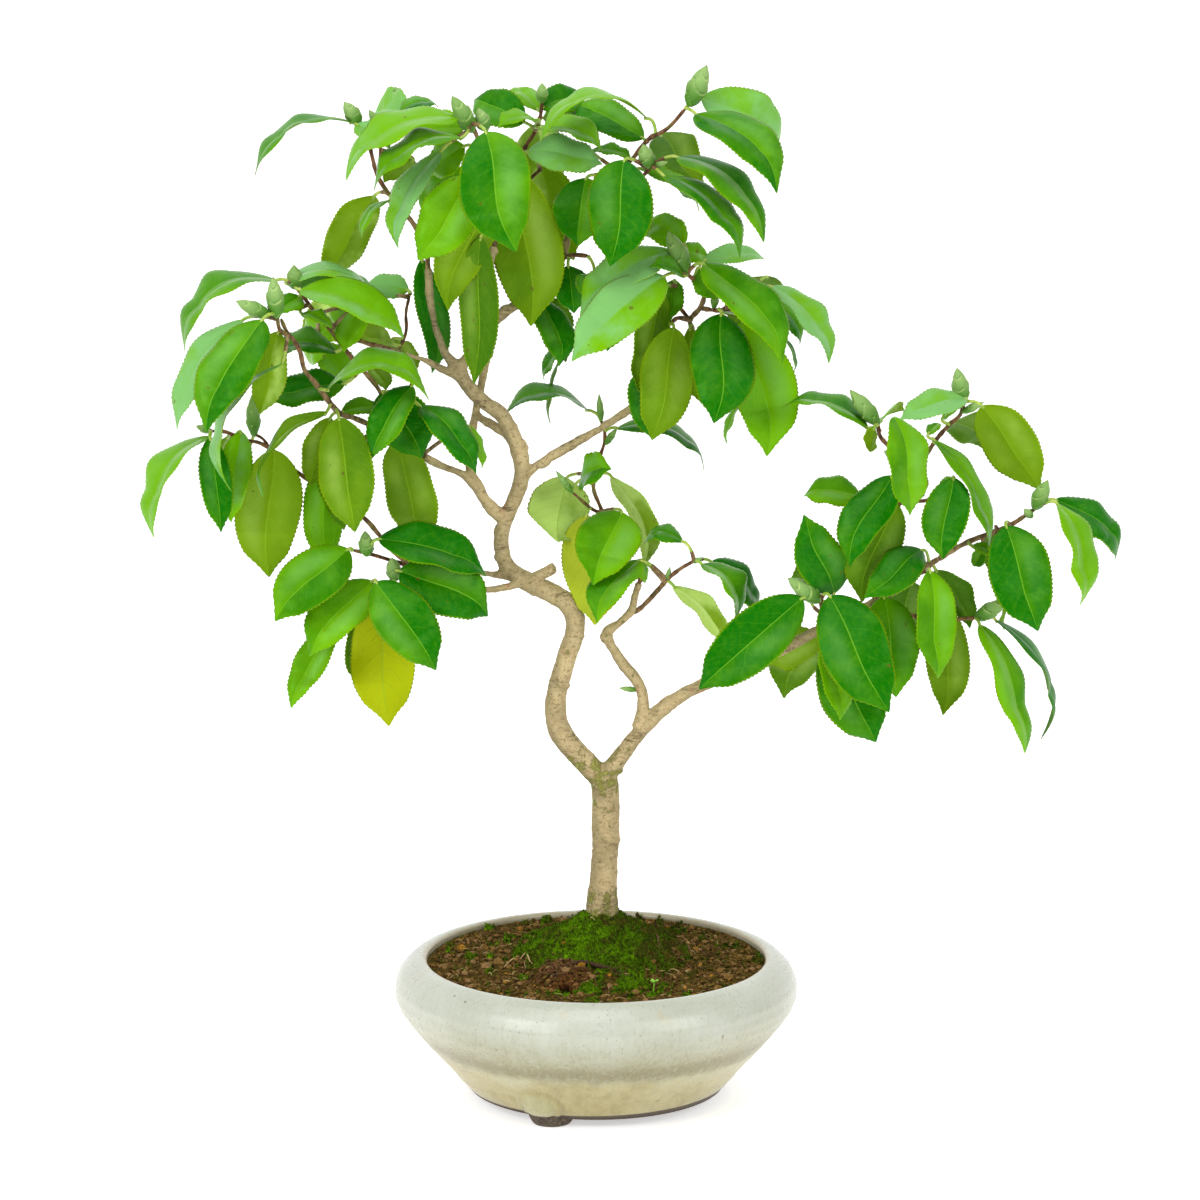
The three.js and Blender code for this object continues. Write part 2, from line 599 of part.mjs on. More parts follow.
const leftSprays = {
  spray_left_back: {
    twigs: [
      [[200.8, 423.2, -11, 1.5], [192, 426, -11, 1.4], [183, 428.5, -10, 1.3], [174, 432, -8, 1.2],
        [166, 437, -6, 1.1], [158, 443, -4, 1]],
      [[199, 424, -11, 1], [203, 434, -2, 1], [203, 444, 2, 0.9], [205, 453, 6, 0.9]],
    ],
    leaves: [
      [196, 428, -8, 176, 435, 2, 16, 2, 150],
      [180, 452, 12, 167, 437, 24, 18, 3, 20],
      [166, 436, 6, 152, 425, 24, 22, 3, 30],
      [160, 428, 18, 173, 407, 22, 17, 3, 25],
      [172, 446, 26, 150, 430, 44, 24, 5, 165],
    ],
    buds: [],
  },
  spray_left_upper: {
    twigs: [
      [[197, 381.5, -8.5, 1.4], [195, 393, -12, 1.4], [189.5, 405, -15, 1.3], [184, 412, -17, 1.3],
        [178, 418.5, -18, 1.2], [172, 426, -19, 1.2], [165, 435, -20, 1.1], [159, 441.5, -22, 1.1],
        [154, 448.5, -23, 1.1], [148.5, 456, -24, 1]],
    ],
    leaves: [
      [138, 460, -28, 92.5, 423.5, -34, 27, 18, 68],
      [143, 459, -22, 186, 454, -14, 24, 9, 82],
      [150, 455, -30, 202, 431, -34, 24, 9, 54],
      [150, 457, -18, 188, 452, 0, 20, 7, 58],
      [168, 424, -20, 137, 420, -18, 20, 8, 62],
      [172, 408, -20, 133, 400, -22, 20, 3, 45],
    ],
    buds: [[147, 467.5, -24, 8, 147.5, 456, -24]],
  },
  spray_left_front: {
    twigs: [
      [[189, 386, -24, 1.6], [177, 391, -22, 1.6], [169, 394, -27, 1.6], [158, 408, -34, 1.5],
        [152.3, 415, -37, 1.4], [150, 424, -40, 1.3], [146, 431, -43, 1.3], [140, 435, -46, 1.1],
        [138.5, 443, -48, 1.1]],
      [[146, 431, -43, 1], [143, 435, -43, 1], [140.5, 440.5, -46, 1]],
    ],
    leaves: [
      [131, 440, -54, 103, 384, -72, 26, 7, 22],
      [121, 440, -44, 88.5, 385.5, -52, 18, 12, 45],
      [139, 434, -44, 130, 393, -50, 19, 3, 150],
      [141, 418, -52, 115.5, 354.5, -62, 24, 16, 74],
      [163, 405, -36, 214.5, 400, -42, 24, 17, 68],
      [169.5, 391, -36, 177.5, 334, -46, 27, 1, 172],
      [165, 391, -24, 155, 357, -28, 17, 2, 155],
      [163, 393.5, -33, 132, 351, -60, 20, 12, 100],
    ],
    buds: [
      [136.5, 461.5, -48, 8.5, 138.5, 442, -48],
      [118, 449.5, -52, 7, 134, 442.5, -49],
    ],
  },
  spray_left_inner: {
    twigs: [
      [[210.6, 372, -9.3, 1.7], [204, 375, -12, 1.6], [200, 380.5, -15, 1.5], [202, 390, -22, 1.3],
        [204, 401, -28, 1.2], [206, 409, -30, 1]],
      [[200, 380.5, -15, 1.1], [192, 383, -22, 1.1], [187, 389, -26, 1]],
    ],
    leaves: [
      [191, 404, -22, 211, 371, -26, 27, 4, 10],
      [206, 407, -34, 186, 371, -40, 18, 7, 25],
      [210, 397, -30, 238, 363.5, -38, 20, 8, 45],
      [199, 380, -22, 209, 322, -20, 26, 2, 160],
      [160, 366, -21, 163, 318, -22, 20, 4, 20],
    ],
    buds: [],
  },
  spray_left_low: {
    twigs: [
      [[225.4, 317.2, 8.1, 1.5], [214, 318.3, 8, 1.5], [204, 319, 6, 1.4], [196, 325, 3, 1.4],
        [190, 332, 0, 1.3], [182, 341, -5, 1.3], [168, 350.5, -12, 1.2], [157, 358, -17, 1.2],
        [146, 366, -22, 1.1], [135, 375.5, -28, 1.1], [129, 378.8, -32, 1], [122, 380, -36, 1],
        [113, 384, -40, 1], [105, 384.5, -42, 0.9]],
      [[135, 375.5, -28, 0.9], [131.5, 380.5, -28, 0.9], [127, 383, -28, 0.9]],
    ],
    leaves: [
      [105, 382, -46, 77, 331, -56, 24, 14, 62],
      [120.5, 384, -40, 115.5, 339, -46, 17, 2, 12],
      [137, 375, -30, 134.5, 311.5, -38, 31, -2, 175],
      [114, 382, -34, 106, 360, -22, 16, 2, 120],
    ],
    buds: [
      [126, 402.5, -28, 7, 127, 383, -28],
    ],
  },
  spray_low_front: {
    twigs: [
      [[225.4, 308.8, -14.3, 1.4], [213, 313.5, -20, 1.3], [203, 317.5, -24, 1.2],
        [195, 320, -27, 1.1], [185, 323, -30, 1], [176, 325, -32, 1]],
      [[203, 317.5, -24, 1], [197, 311, -27, 1], [190, 306.5, -28, 1], [186, 305, -28, 0.9]],
    ],
    leaves: [
      [189.5, 330.5, -34, 243, 312, -28, 26, 6, 50],
      [200, 314.5, -34, 244, 292, -30, 30, 6, 28],
      [188, 309, -42, 218, 265, -52, 27, 5, 12],
      [174, 325.5, -34, 137.5, 289.5, -46, 26, 5, 12],
      [186, 309.5, -32, 155, 272, -42, 24, 6, 20],
      [168, 291, -24, 145.5, 246, -34, 16, 3, 22],
      [190, 301, -20, 194.5, 237, -28, 32, 1, 174],
      [185, 300, -12, 180, 256, -14, 17, 1, 150],
    ],
    buds: [
      [182.5, 334.5, -31, 7.5, 183.5, 322.5, -31],
      [196, 321, -34, 7.5, 197.5, 310.5, -27.5],
    ],
  },
};

const middleSprays = {
  spray_middle: {
    twigs: [
      [[278.8, 468.6, 4.4, 2], [281, 472, 5, 1.9], [282, 473.8, 5, 1.8]],
      [[280.5, 471, 5, 1.5], [287, 472.5, 0, 1.3], [294, 472, -3, 1.1]],
      [[281, 472, 5, 1.2], [276, 462, 14, 1.1], [273, 453, 16, 1]],
    ],
    leaves: [
      [284, 467, 0, 287, 443.5, -4, 17, 3, 12],
      [271, 450, 8, 279.5, 417, 0, 18, 4, 25],
      [276, 451, 16, 283, 419, 16, 17, 2, 160],
    ],
    buds: [],
  },
  spray_below_middle: {
    twigs: [
      [[320.2, 311.4, -1.2, 1.3], [314.5, 313, 4, 1.3], [309, 325, 9, 1.3], [304, 337, 11, 1.3],
        [300, 347, 10, 1.2], [297, 354.5, 9, 1.2], [297, 361, 10, 1.1], [299, 369, 14, 1.1],
        [302, 378, 18, 1], [302.3, 384, 20, 1], [300.5, 390, 21, 0.9]],
      [[301.5, 343, 10.5, 1], [296, 345.5, 6, 1], [290, 350.5, 2, 0.9], [285.5, 354.5, 0, 0.9]],
    ],
    leaves: [
      [283, 361, 18, 279, 329, -4, 31, 1, 165],
      [290, 360, 2, 305.5, 365.5, -8, 20, 3, 50],
      [306, 361.5, 8, 320, 314, 6, 22, 9, 128],
      [311, 344, 2, 296.5, 307.5, -20, 30, 4, 8],
      [294, 342, 4, 302, 287.5, -12, 27, -1, 172],
      [294, 395, 20, 252.5, 393, 10, 22, 10, 76],
      [309, 386, 22, 352, 365, 30, 22, 12, 80],
    ],
    buds: [],
  },
  spray_small_right: {
    twigs: [
      [[318.4, 294.6, 2.2, 1.6], [323, 298.5, 1, 1.5], [329, 305, -2, 1.4], [334, 310.5, -4, 1.3],
        [340, 315.5, -6, 1.2], [347, 319.5, -8, 1.1]],
    ],
    leaves: [
      [319, 320, -6, 298.5, 288.5, -26, 20, 5, 38],
      [337, 307, -4, 362, 276, -2, 21, 6, 128],
      [351, 318, -10, 368, 291, -14, 21, 9, 62],
      [356, 319, -2, 377.5, 294, 8, 20, 8, 58],
    ],
    buds: [],
  },
  spray_cluster: {
    twigs: [
      [[336.6, 419, 13.1, 1.7], [341, 427, 14, 1.6], [346, 434, 14, 1.6], [345, 440, 10, 1.6],
        [350, 446, 4, 1.5], [352, 453, 0, 1.4], [348, 459, -4, 1.3], [343.5, 463, -7, 1.2]],
      [[350, 446, 4, 1.4], [356, 445, -2, 1.3], [361, 444.5, -6, 1.2]],
      [[345, 440, 10, 1.4], [339, 441, 3, 1.3], [335, 438, -2, 1.2]],
      [[345, 440, 10, 1], [339, 448, 9, 1], [338, 457, 8, 1]],
      [[341, 427, 14, 1.2], [334, 425, 9, 1]],
    ],
    leaves: [
      [332, 462, -16, 286, 419.5, -36, 27, 7, 24],
      [335, 475, -6, 290, 442, -18, 24, 8, 42],
      [352, 468, -14, 391, 418.5, -30, 25, 8, 36],
      [350, 466, -2, 358, 450, -4, 17, 2, 25],
      [342, 478, 0, 323, 489, 14, 18, 4, 35],
      [360.5, 443, -10, 357, 388.5, -24, 31, 3, 2],
      [371, 440, 0, 383.5, 372, -10, 33, 4, 12],
      [361, 444, -16, 391, 420, -20, 17, 6, 82],
      [386, 457, 0, 414.5, 418.5, -6, 20, 8, 52],
      [331, 454, 2, 319, 404.5, -6, 19, 1, 155],
      [337, 436, -6, 326, 380, -16, 26, -1, 175],
      [322, 416, 4, 326, 380.5, 2, 21, 2, 15],
      [384, 462, 8, 372, 430, 30, 26, 5, 165],
    ],
    buds: [
      [334, 484.5, -10, 9.5, 343, 464, -7],
    ],
  },
};

const rightSprays = {
  spray_right_near: {
    twigs: [[[411.5, 290.6, -19, 1.6], [411, 295, -20, 1.5], [410.5, 300.5, -22, 1.3]]],
    leaves: [
      [401, 301, -26, 349.5, 255.5, -30, 28, 5, 12],
      [415, 302, -30, 444.5, 244, -50, 33, 6, 8],
      [417, 303, -18, 402, 342.5, -24, 24, 6, 15],
    ],
    buds: [[394, 311, -26, 9, 409.5, 300, -22]],
  },
  spray_right_under: {
    twigs: [[[412, 283, -18, 1.4], [412.5, 280.5, -18, 1.3], [413, 277, -18, 1.1]]],
    leaves: [
      [411, 282, -12, 375, 270, 2, 20, 2, 165],
      [413, 279, -24, 420, 240, -34, 17, 3, 32],
      [414, 276, -14, 438, 229, -20, 31, 4, 12],
      [408, 281, -8, 392, 251, 22, 26, 4, 170],
    ],
    buds: [],
  },
  spray_right_middle: {
    twigs: [
      [[441.7, 301, -16, 2.1], [450, 306, -15, 2], [459, 314, -13, 1.9], [470, 321, -11, 1.8]],
      [[456, 311.6, -13.6, 1.1], [461, 313.5, -18, 1.1], [464, 314.5, -20, 1]],
    ],
    leaves: [
      [442, 301.5, -20, 448, 251.5, -32, 27, 5, 12],
      [461, 325, -15, 432, 301, -34, 20, 5, 30],
      [465, 314.5, -24, 469, 261, -32, 21, 4, 20],
      [468, 315, -12, 485, 286, -8, 18, 4, 140],
      [472, 298, -6, 471.5, 242.5, -8, 22, 1, 165],
      [456, 309, -4, 447, 268, 12, 24, 4, 170],
    ],
    buds: [],
  },
  spray_right_tip: {
    twigs: [
      [[471.2, 321.7, -10.8, 1.7], [480, 327, -9, 1.6], [490, 331.5, -8, 1.5], [500, 335, -8, 1.4],
        [507, 338.5, -9, 1.3], [513, 342.5, -10, 1.2], [518, 346, -10, 1.2]],
    ],
    leaves: [
      [528, 350, -6, 557.5, 320, 4, 20, 9, 48],
      [529, 348, -14, 540, 297.5, -22, 21, 10, 48],
      [503, 337, -18, 519, 284.5, -30, 30, 5, 4],
      [498, 336, 2, 512, 300, 26, 24, 5, 168],
    ],
    buds: [
      [524, 360, -12, 8, 517.5, 346, -10],
    ],
  },
  spray_right_upright: {
    twigs: [
      [[437.5, 302.6, -16.5, 1.8], [441, 315, -14, 1.8], [445, 332, -12, 1.7],
        [449, 346, -12, 1.6], [449.8, 353, -12, 1.6], [450, 361, -14, 1.4], [448, 370, -17, 1.3],
        [444, 377, -20, 1.2], [440, 382, -22, 1.2], [439, 388, -23, 1.1]],
    ],
    leaves: [
      [446, 362, -18, 425, 317, -30, 22, 5, 22],
      [447, 349, -16, 431, 299, -24, 25, 0, 170],
      [430, 352, -8, 402, 352, -2, 18, 4, 48],
      [434, 386, -26, 391, 396, -18, 24, 8, 78],
    ],
    buds: [
      [425, 405, -28, 8.5, 438.5, 388.5, -23],
    ],
  },
  spray_right_upper: {
    twigs: [
      [[452.2, 355.2, -11, 1.8], [455, 361, -9, 1.7], [462, 371, -6, 1.4], [468, 380, -4, 1.3],
        [474, 387, -4, 1.2], [480, 392.5, -5, 1.2], [482, 399, -6, 1.2]],
    ],
    leaves: [
      [447, 391.5, -34, 455, 342.5, -40, 23, 8, 32],
      [483, 401, -8, 450, 390, -20, 17, 4, 48],
      [467, 380, -9, 494, 325, -16, 22, 9, 66],
      [491, 397, -8, 520, 355, -4, 27, 4, 162],
      [476, 389, 0, 500, 372, 26, 24, 5, 150],
    ],
    buds: [
      [478.5, 416, -6, 8.5, 481.5, 399.5, -6],
    ],
  },
  spray_right_slender: {
    twigs: [
      [[451.5, 348.6, -12, 1.2], [458, 349.2, -13, 1.1], [464, 350, -14, 1.1],
        [470, 352.5, -15, 1], [476, 358, -16, 1]],
    ],
    leaves: [
      [477, 361, -19, 471.5, 320.5, -26, 22, 4, 14],
    ],
    buds: [],
  },
  spray_right_low: {
    twigs: [
      [[438, 295, -15.5, 1.4], [452, 293, -12, 1.3], [465, 290.5, -12, 1.2], [477, 290.5, -13, 1.2],
        [488, 291, -14, 1.2]],
    ],
    leaves: [
      [490, 287.5, -18, 512.5, 223.5, -26, 22, 9, 52],
      [498, 290, -12, 520.5, 230.5, -6, 20, 13, 82],
    ],
    buds: [[504, 300, -16, 8, 488.5, 291, -14]],
  },
};

const sprays = { ...crownSprays, ...leftSprays, ...middleSprays, ...rightSprays };

// Finishes
const glaze = new THREE.MeshStandardMaterial({ color: 0xd8dccb, roughness: 0.22, metalness: 0 });
const screenPlastic = new THREE.MeshStandardMaterial({ color: 0x20211f, roughness: 0.6, metalness: 0 });
const earth = new THREE.MeshStandardMaterial({ color: 0x58451f, roughness: 0.95, metalness: 0 });
const cushion = new THREE.MeshStandardMaterial({ color: 0x4a7a12, roughness: 0.95, metalness: 0 });
const bark = new THREE.MeshStandardMaterial({ color: 0xa89568, roughness: 0.85, metalness: 0 });
const foliage = new THREE.MeshStandardMaterial({ color: 0x2e8d0c, roughness: 0.35, metalness: 0 });

const bonsai = new THREE.Group();

function addPiece(name, geometry, material, offset) {
  const piece = new THREE.Mesh(geometry, material.clone());
  piece.name = name;
  piece.position.copy(offset);
  bonsai.add(piece);
}

addPiece('bowl', bowl(), glaze, bowlOffset);
addPiece('drain_screen', drainScreen(), screenPlastic, bowlOffset);
addPiece('soil', soil(), earth, bowlOffset);
addPiece('moss', moss(), cushion, bowlOffset);
addPiece('trunk_and_limbs', trunkAndLimbs(), bark, bowlOffset);
for (const [name, parts] of Object.entries(sprays)) {
  addPiece(name, spray(parts), foliage, bowlOffset);
}

export default bonsai;
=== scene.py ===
"""A japanese camellia bonsai in a round glazed bowl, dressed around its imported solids."""

import math

import bpy
import numpy as np
from bpy.props import FloatProperty, FloatVectorProperty, IntProperty, PointerProperty
from bpy.types import Operator, Panel, PropertyGroup
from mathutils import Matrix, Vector


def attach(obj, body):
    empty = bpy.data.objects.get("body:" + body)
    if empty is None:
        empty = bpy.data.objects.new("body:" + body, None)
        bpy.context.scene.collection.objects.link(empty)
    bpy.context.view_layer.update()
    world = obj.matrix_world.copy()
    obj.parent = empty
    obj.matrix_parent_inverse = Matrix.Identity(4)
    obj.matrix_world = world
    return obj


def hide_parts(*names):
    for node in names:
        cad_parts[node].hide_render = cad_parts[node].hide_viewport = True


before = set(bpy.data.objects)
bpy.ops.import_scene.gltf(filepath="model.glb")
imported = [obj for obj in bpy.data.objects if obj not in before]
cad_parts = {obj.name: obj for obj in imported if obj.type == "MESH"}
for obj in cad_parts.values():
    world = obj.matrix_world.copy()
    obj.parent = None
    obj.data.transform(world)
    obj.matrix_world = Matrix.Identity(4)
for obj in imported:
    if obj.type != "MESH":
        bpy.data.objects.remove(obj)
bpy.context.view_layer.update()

bl_info = {
    "name": "Camellia bonsai",
    "version": (1, 0, 0),
    "blender": (4, 5, 0),
    "location": "3D View > Sidebar > Bonsai",
    "description": "Makes a japanese camellia bonsai with its bowl, soil, moss and leafy sprays",
    "category": "Add Mesh",
}

# Shapes are worked out in millimetres and written in metres
MM = 0.001

# The sheet on which the plant is sketched: it hangs in the plane through the trunk, square to
# the line from the viewpoint to the sheet's centre
SHEET = 600.0
VIEW_DISTANCE = 1950.0
VIEW_PITCH = math.radians(10.2)
DEPTH_SPREAD = 1.35
BOWL_OFFSET = np.array([-20.0, 0.0, 0.0])
BOWL_AXIS_ON_SHEET = 298.0
VIEW_HEIGHT = 600.0
EYE = np.array([SHEET / 2 - BOWL_AXIS_ON_SHEET, -VIEW_DISTANCE * math.cos(VIEW_PITCH), VIEW_HEIGHT])

# Where the trunk forks, on the sheet
FORK = (299.0, 216.0, 1.0)

# The bowl: how far each point of the wall stands from the axis, and its height
BOWL_PROFILE = [
    (12, 4.5), (38, 4.5), (62, 4.5), (65.5, 6), (69, 9.8), (75.6, 18), (84.8, 28), (93.6, 38.5),
    (99, 46), (101.5, 51.5), (102, 56), (101, 61), (98.2, 65.8), (94.2, 69.3), (90.5, 71.2),
    (87.5, 71.4), (86, 70), (86.4, 67), (89.5, 63), (93, 58), (94.2, 52), (92.4, 46),
    (86, 36), (77, 25.5), (70, 17.8), (64, 12.5), (38, 12.5), (12, 12.5),
    (11, 11.5), (11, 5.5),
]
OUTER_PROFILE_POINTS = 14
BOWL_SMOOTHNESS = 6
BARE_CLAY_HEIGHT = 5.0
FOOT_PROFILE = [(8, 12.4), (6, 12.2), (4, 11.6), (2, 10.6), (0.8, 9.8), (0.2, 9.2), (0, 8.4)]
BOSS_HEIGHT = 12.5
BOSS_RADIUS = 12.0
BOSS_SHIFT = 0.5
BOSS_SQUASH = 1.33
BOSS_DEPTHS = (4.2, 1.2, 2.0)
BOSS_RING = 0.7
BOSS_RING_DEPTH = 0.3
WALL_SLOPE = math.radians(38)
FOOT_COUNT = 3
FRONT_FOOT_ANGLE = math.radians(-112.7)
FOOT_CIRCLE_RADIUS = 57.0
FOOT_SIDES = 40
RIM_OPENING_RADIUS = 86.0

# What fills the bowl
SOIL_LEVEL = 68.0
MOUND_HEIGHT = 28.5
BACK_RISE = 1.2
MOUND_RADIUS = 62.0
SKIRT_SOFTNESS = 1.6
TRUNK_FOOT = np.array([3.0, 6.75])
TRUNK_FOOT_RADIUS = 9.0
MOSS_REACH = 52.0
MOSS_THICKNESS = 1.6
MOSS_ROOTING = 2.5
LUMP = np.array([-18.0, -39.0])
LUMP_HEIGHT = 5.0
LUMP_RADIUS = 14.0
LUMP_FIBRES = 130
HOLLOW_DEPTH = 8.5
HOLLOW_EDGE = 0.25
FIBRE_SIDES = 5
# Hollows in the lump and in the moss right of it: middle (x, y) from the bowl's axis, and how far
# each reaches across and front to back
HOLLOWS = [(-15.1, -53.0, 3.3, 7.0), (23.4, -26.0, 3.6, 4.0)]
SOIL_UNDERSIDE = [
    (91.6, 59.3), (93.8, 52), (85.6, 36.2), (69.6, 18.1), (63.7, 12.8), (17.3, 12.8),
    (17.3, 14.1), (0.4, 14.1),
]

# What crosses the soil, as points (u, v) laid on it, their lifts, a radius and a tone: the dark
# root over the hollow, the wiry roots right of the trunk and pale straws left of it
SURFACE_ROOTS = [
    ([(281, 115), (285, 117), (292, 117), (300, 115.5), (308, 113.5), (315, 111)],
     [-0.5, 1.2, 1.8, 1.4, 0.9, -0.5], 1.15, 0.1),
    ([(324, 137), (327, 134), (329, 129), (329.5, 124), (329.5, 119)],
     [-0.5, 1.5, 1.6, 1.3, -0.5], 0.55, 0.25),
    ([(279, 134), (274, 131), (271, 127), (270.5, 123)], [-0.5, 1.2, 1.3, -0.5], 0.4, 0.5),
    ([(260, 120), (263, 122), (265, 118), (267, 117)], [0.4, 1.6, 1.5, 0.3], 0.4, 0.95),
    ([(252, 116), (256, 119), (259, 120)], [0.4, 1.4, 0.6], 0.35, 0.9),
    ([(293, 138), (296, 140), (299, 137)], [0.3, 1.4, 0.4], 0.35, 0.9),
]
PEBBLE = (295.5, 105.5)
PEBBLE_SIZE = 1.7
SEEDLING = (326.5, 103.0)
SEEDLING_HEIGHT = 6.0
SEEDLING_SIDES = 6

# Limbs and twigs: how many points their round sections have, and how many spans lie between two
# sketched points
LIMB_SIDES = 20
LIMB_SPANS = 8
TWIG_SIDES = 8
TWIG_SPANS = 6
TWIG_SLIMNESS = 0.84

# Leaves and buds. Fold, recurve and wave are shares of a blade's width, hook and sway of its length
FOLD = 0.26
FOLD_SPREAD = 0.35
RECURVE = (0.06, 0.24)
WAVE = (0.02, 0.07)
HOOK = (0.02, 0.055)
SWAY = 0.055
TOOTH_PITCH = 2.1
TOOTH_DEPTH = 0.62
BLADE_THICKNESS = 0.55
BLADE_COLUMNS = np.array([-1, -0.93, -0.7, -0.42, -0.16, -0.05, 0, 0.05, 0.16, 0.42, 0.7, 0.93, 1])
STALK_LENGTH = 9.0
STALK_RADIUS = 0.8
BUD_POINTS = 24
BUD_STATIONS = 34
SCALE_ROWS = 3
SCALES_IN_ROW = 2
# One corner of every round section stands on the side that this direction points to
CORNER_HINT = np.array([0.3, -1.0, 0.1])
FINISHES_OF_SPRAY = ("leaf_upper", "leaf_under", "young_wood", "leaf_stalk", "bud_scales")
UPPER, UNDER, WOOD, STALK, BUD = range(len(FINISHES_OF_SPRAY))

# The ranges that a leaf's tone is drawn from: usual, deep green, light green, pale with a painted
# sheen, yellowing and old
USUAL = (0.2, 0.85)
DEEP = (0.0, 0.2)
LIGHT = (0.9, 1.0)
PALE_PAINTED_SHEEN = (1.2, 1.32)
YELLOWING = (1.57, 1.59)
OLD = (2.0, 2.0)

# Colours, 0 to 255, of a blade's faces that no setting holds: the pale painted sheen, which on the
# lower side is painted light shining through the leaf, the old leaf, the midrib and the margin, and
# the lower side of the darkest leaves
LEAF_UPPER_COLOURS = [(120, 176, 106), (164, 176, 0), (114, 172, 46), (152, 192, 8)]
LEAF_UNDER_COLOURS = [(182, 214, 110), (160, 172, 0), (130, 166, 36), (150, 178, 10)]
LEAF_UNDER_DEEP = (58, 108, 0)
VEIN_PAIRS = 8.0

# Heights in metres where the glaze changes and where the algae on the trunk end. The glaze ends
# lower on the left by its tilt, metres a metre
BAND_BOTTOM = 0.0315
BAND_TOP = 0.0385
GLAZE_EDGE = 0.0078
GLAZE_EDGE_TILT = -0.016
ALGAE_TOP = (0.088, 0.115)

# The stage, in metres
STAGE_SIZE = 6.0
STAGE_BACK = 1.4
STAGE_BEND = 1.2
WORLD_STRENGTH = 0.46
FLOOR_GLOW = 0.5
FLOOR_COLOUR = (0.92, 0.92, 0.92, 1.0)
WHITE = (1.0, 1.0, 1.0, 1.0)
LAMP_AIM = (0.0, 0.0, 0.2)
LAMPS = [
    ("key_light", (-1.2, -1.3, 1.2), 1.0, 18.0),
    ("fill_light", (1.3, -1.2, 1.1), 1.0, 12.0),
    ("top_light", (-0.2, -0.5, 2.0), 1.3, 14.0),
]

# Trunk and limbs, each as sketched points (u, v, depth, radius)
LIMBS = [
    [(301, 131, 5, 8.2), (301, 143, 5, 8.2), (302.5, 170, 4, 7), (303, 200, 3, 6.9),
     (301.5, 214, 1, 7)],
    [(302, 210, 2, 6.4), (294, 217.5, 0, 5.8), (280.5, 233.5, -2, 5.6), (277.8, 250, -4, 5.2),
     (283, 270, -5, 5.1), (287.6, 286, -4, 5), (285, 297, -2, 5.2), (277.5, 302.5, 0, 5.1),
     (262, 310, 3, 4.8), (253, 318, 4, 4.2), (250.6, 331, 4, 4), (255, 345, 3, 4),
     (259.5, 356, 2, 4), (261, 367, 0, 4), (258.5, 378, -2, 4), (251.5, 392, -4, 3.8),
     (241, 399.5, -4, 3.6), (232, 410, -4, 3.6), (229, 419, -4, 3.6)],
    [(301.5, 210, 1, 5.6), (308, 219, -1, 4.6), (318.5, 232.5, -4, 4.2), (333, 247, -8, 3.7),
     (352, 258, -12, 3.5), (376, 268, -16, 3.2), (399, 279.5, -18, 3), (413, 287, -18, 2.7),
     (428, 294, -17, 2.5), (441, 300.5, -16, 2.4)],
    [(319, 236, -5, 3.2), (321.3, 248, -6, 3), (319.5, 258, -6, 2.9), (311.5, 268, -4, 2.7),
     (306, 277, -2, 2.6), (303.6, 283.5, 0, 3), (309, 288, 0, 2.5), (315.5, 294, -1, 2.5),
     (317.5, 302, -1, 2.1), (319.6, 308.5, -1, 2.2)],
    [(262, 310, 3, 3), (269, 312, 0, 2.6), (277, 316, -3, 2.7)],
    [(256, 312, 3, 2.4), (248, 312.8, 4, 1.9), (238, 314, 6, 1.7), (226, 317, 8, 1.6)],
    [(261, 308.5, 2, 2.4), (248, 305.5, -4, 1.7), (238, 305.6, -9, 1.6), (226, 308.5, -14, 1.5)],
    [(251, 341, 3, 3.6), (243, 349.5, 1, 3.2), (236.5, 359.5, 0, 3.2), (230, 363.5, -2, 2.4),
     (221, 367, -5, 2.2), (211.5, 371.8, -9, 2.1)],
    [(236.3, 358, 0, 2.8), (235.2, 366, 2, 2.5), (235.6, 378, 5, 2.3), (237, 390, 7, 2.2),
     (239.4, 401, 6, 2.2), (241.5, 412, 5, 2.1), (244.5, 425, 4, 1.9), (247.6, 436, 4, 1.8)],
    [(258.5, 373, -1, 3), (254.5, 382, 0, 2.9), (247, 387, 2, 2.7), (240.5, 391, 5, 2.3),
     (237.2, 394, 7, 2.1)],
    [(261, 361, 1, 3), (269, 367.5, 2, 2.4), (288, 378.8, 5, 2.3), (307, 390, 9, 2.1),
     (323, 402.5, 12, 1.9), (336, 418, 13, 1.7)],
    [(229.5, 415, -4, 3.2), (222.5, 424, -5, 2.2), (218, 436, -7, 2), (215.2, 450, -9, 1.9),
     (214, 466, -11, 1.7)],
    [(231, 411, -4, 3), (222, 415, -6, 1.9), (212, 420, -9, 1.6), (202, 423, -11, 1.6)],
    [(229, 415, -4, 3.2), (237, 426, -5, 2.8), (242, 435, -5, 2.7), (251, 443, -4, 2.7),
     (261, 449.5, -2, 2.6), (269.5, 458, 1, 2.4), (277.5, 467, 4, 2.2)],
    [(237, 427, -5, 2.6), (241, 441, -6, 2.3), (244, 461, -8, 2.2), (247, 477, -9, 2)],
]

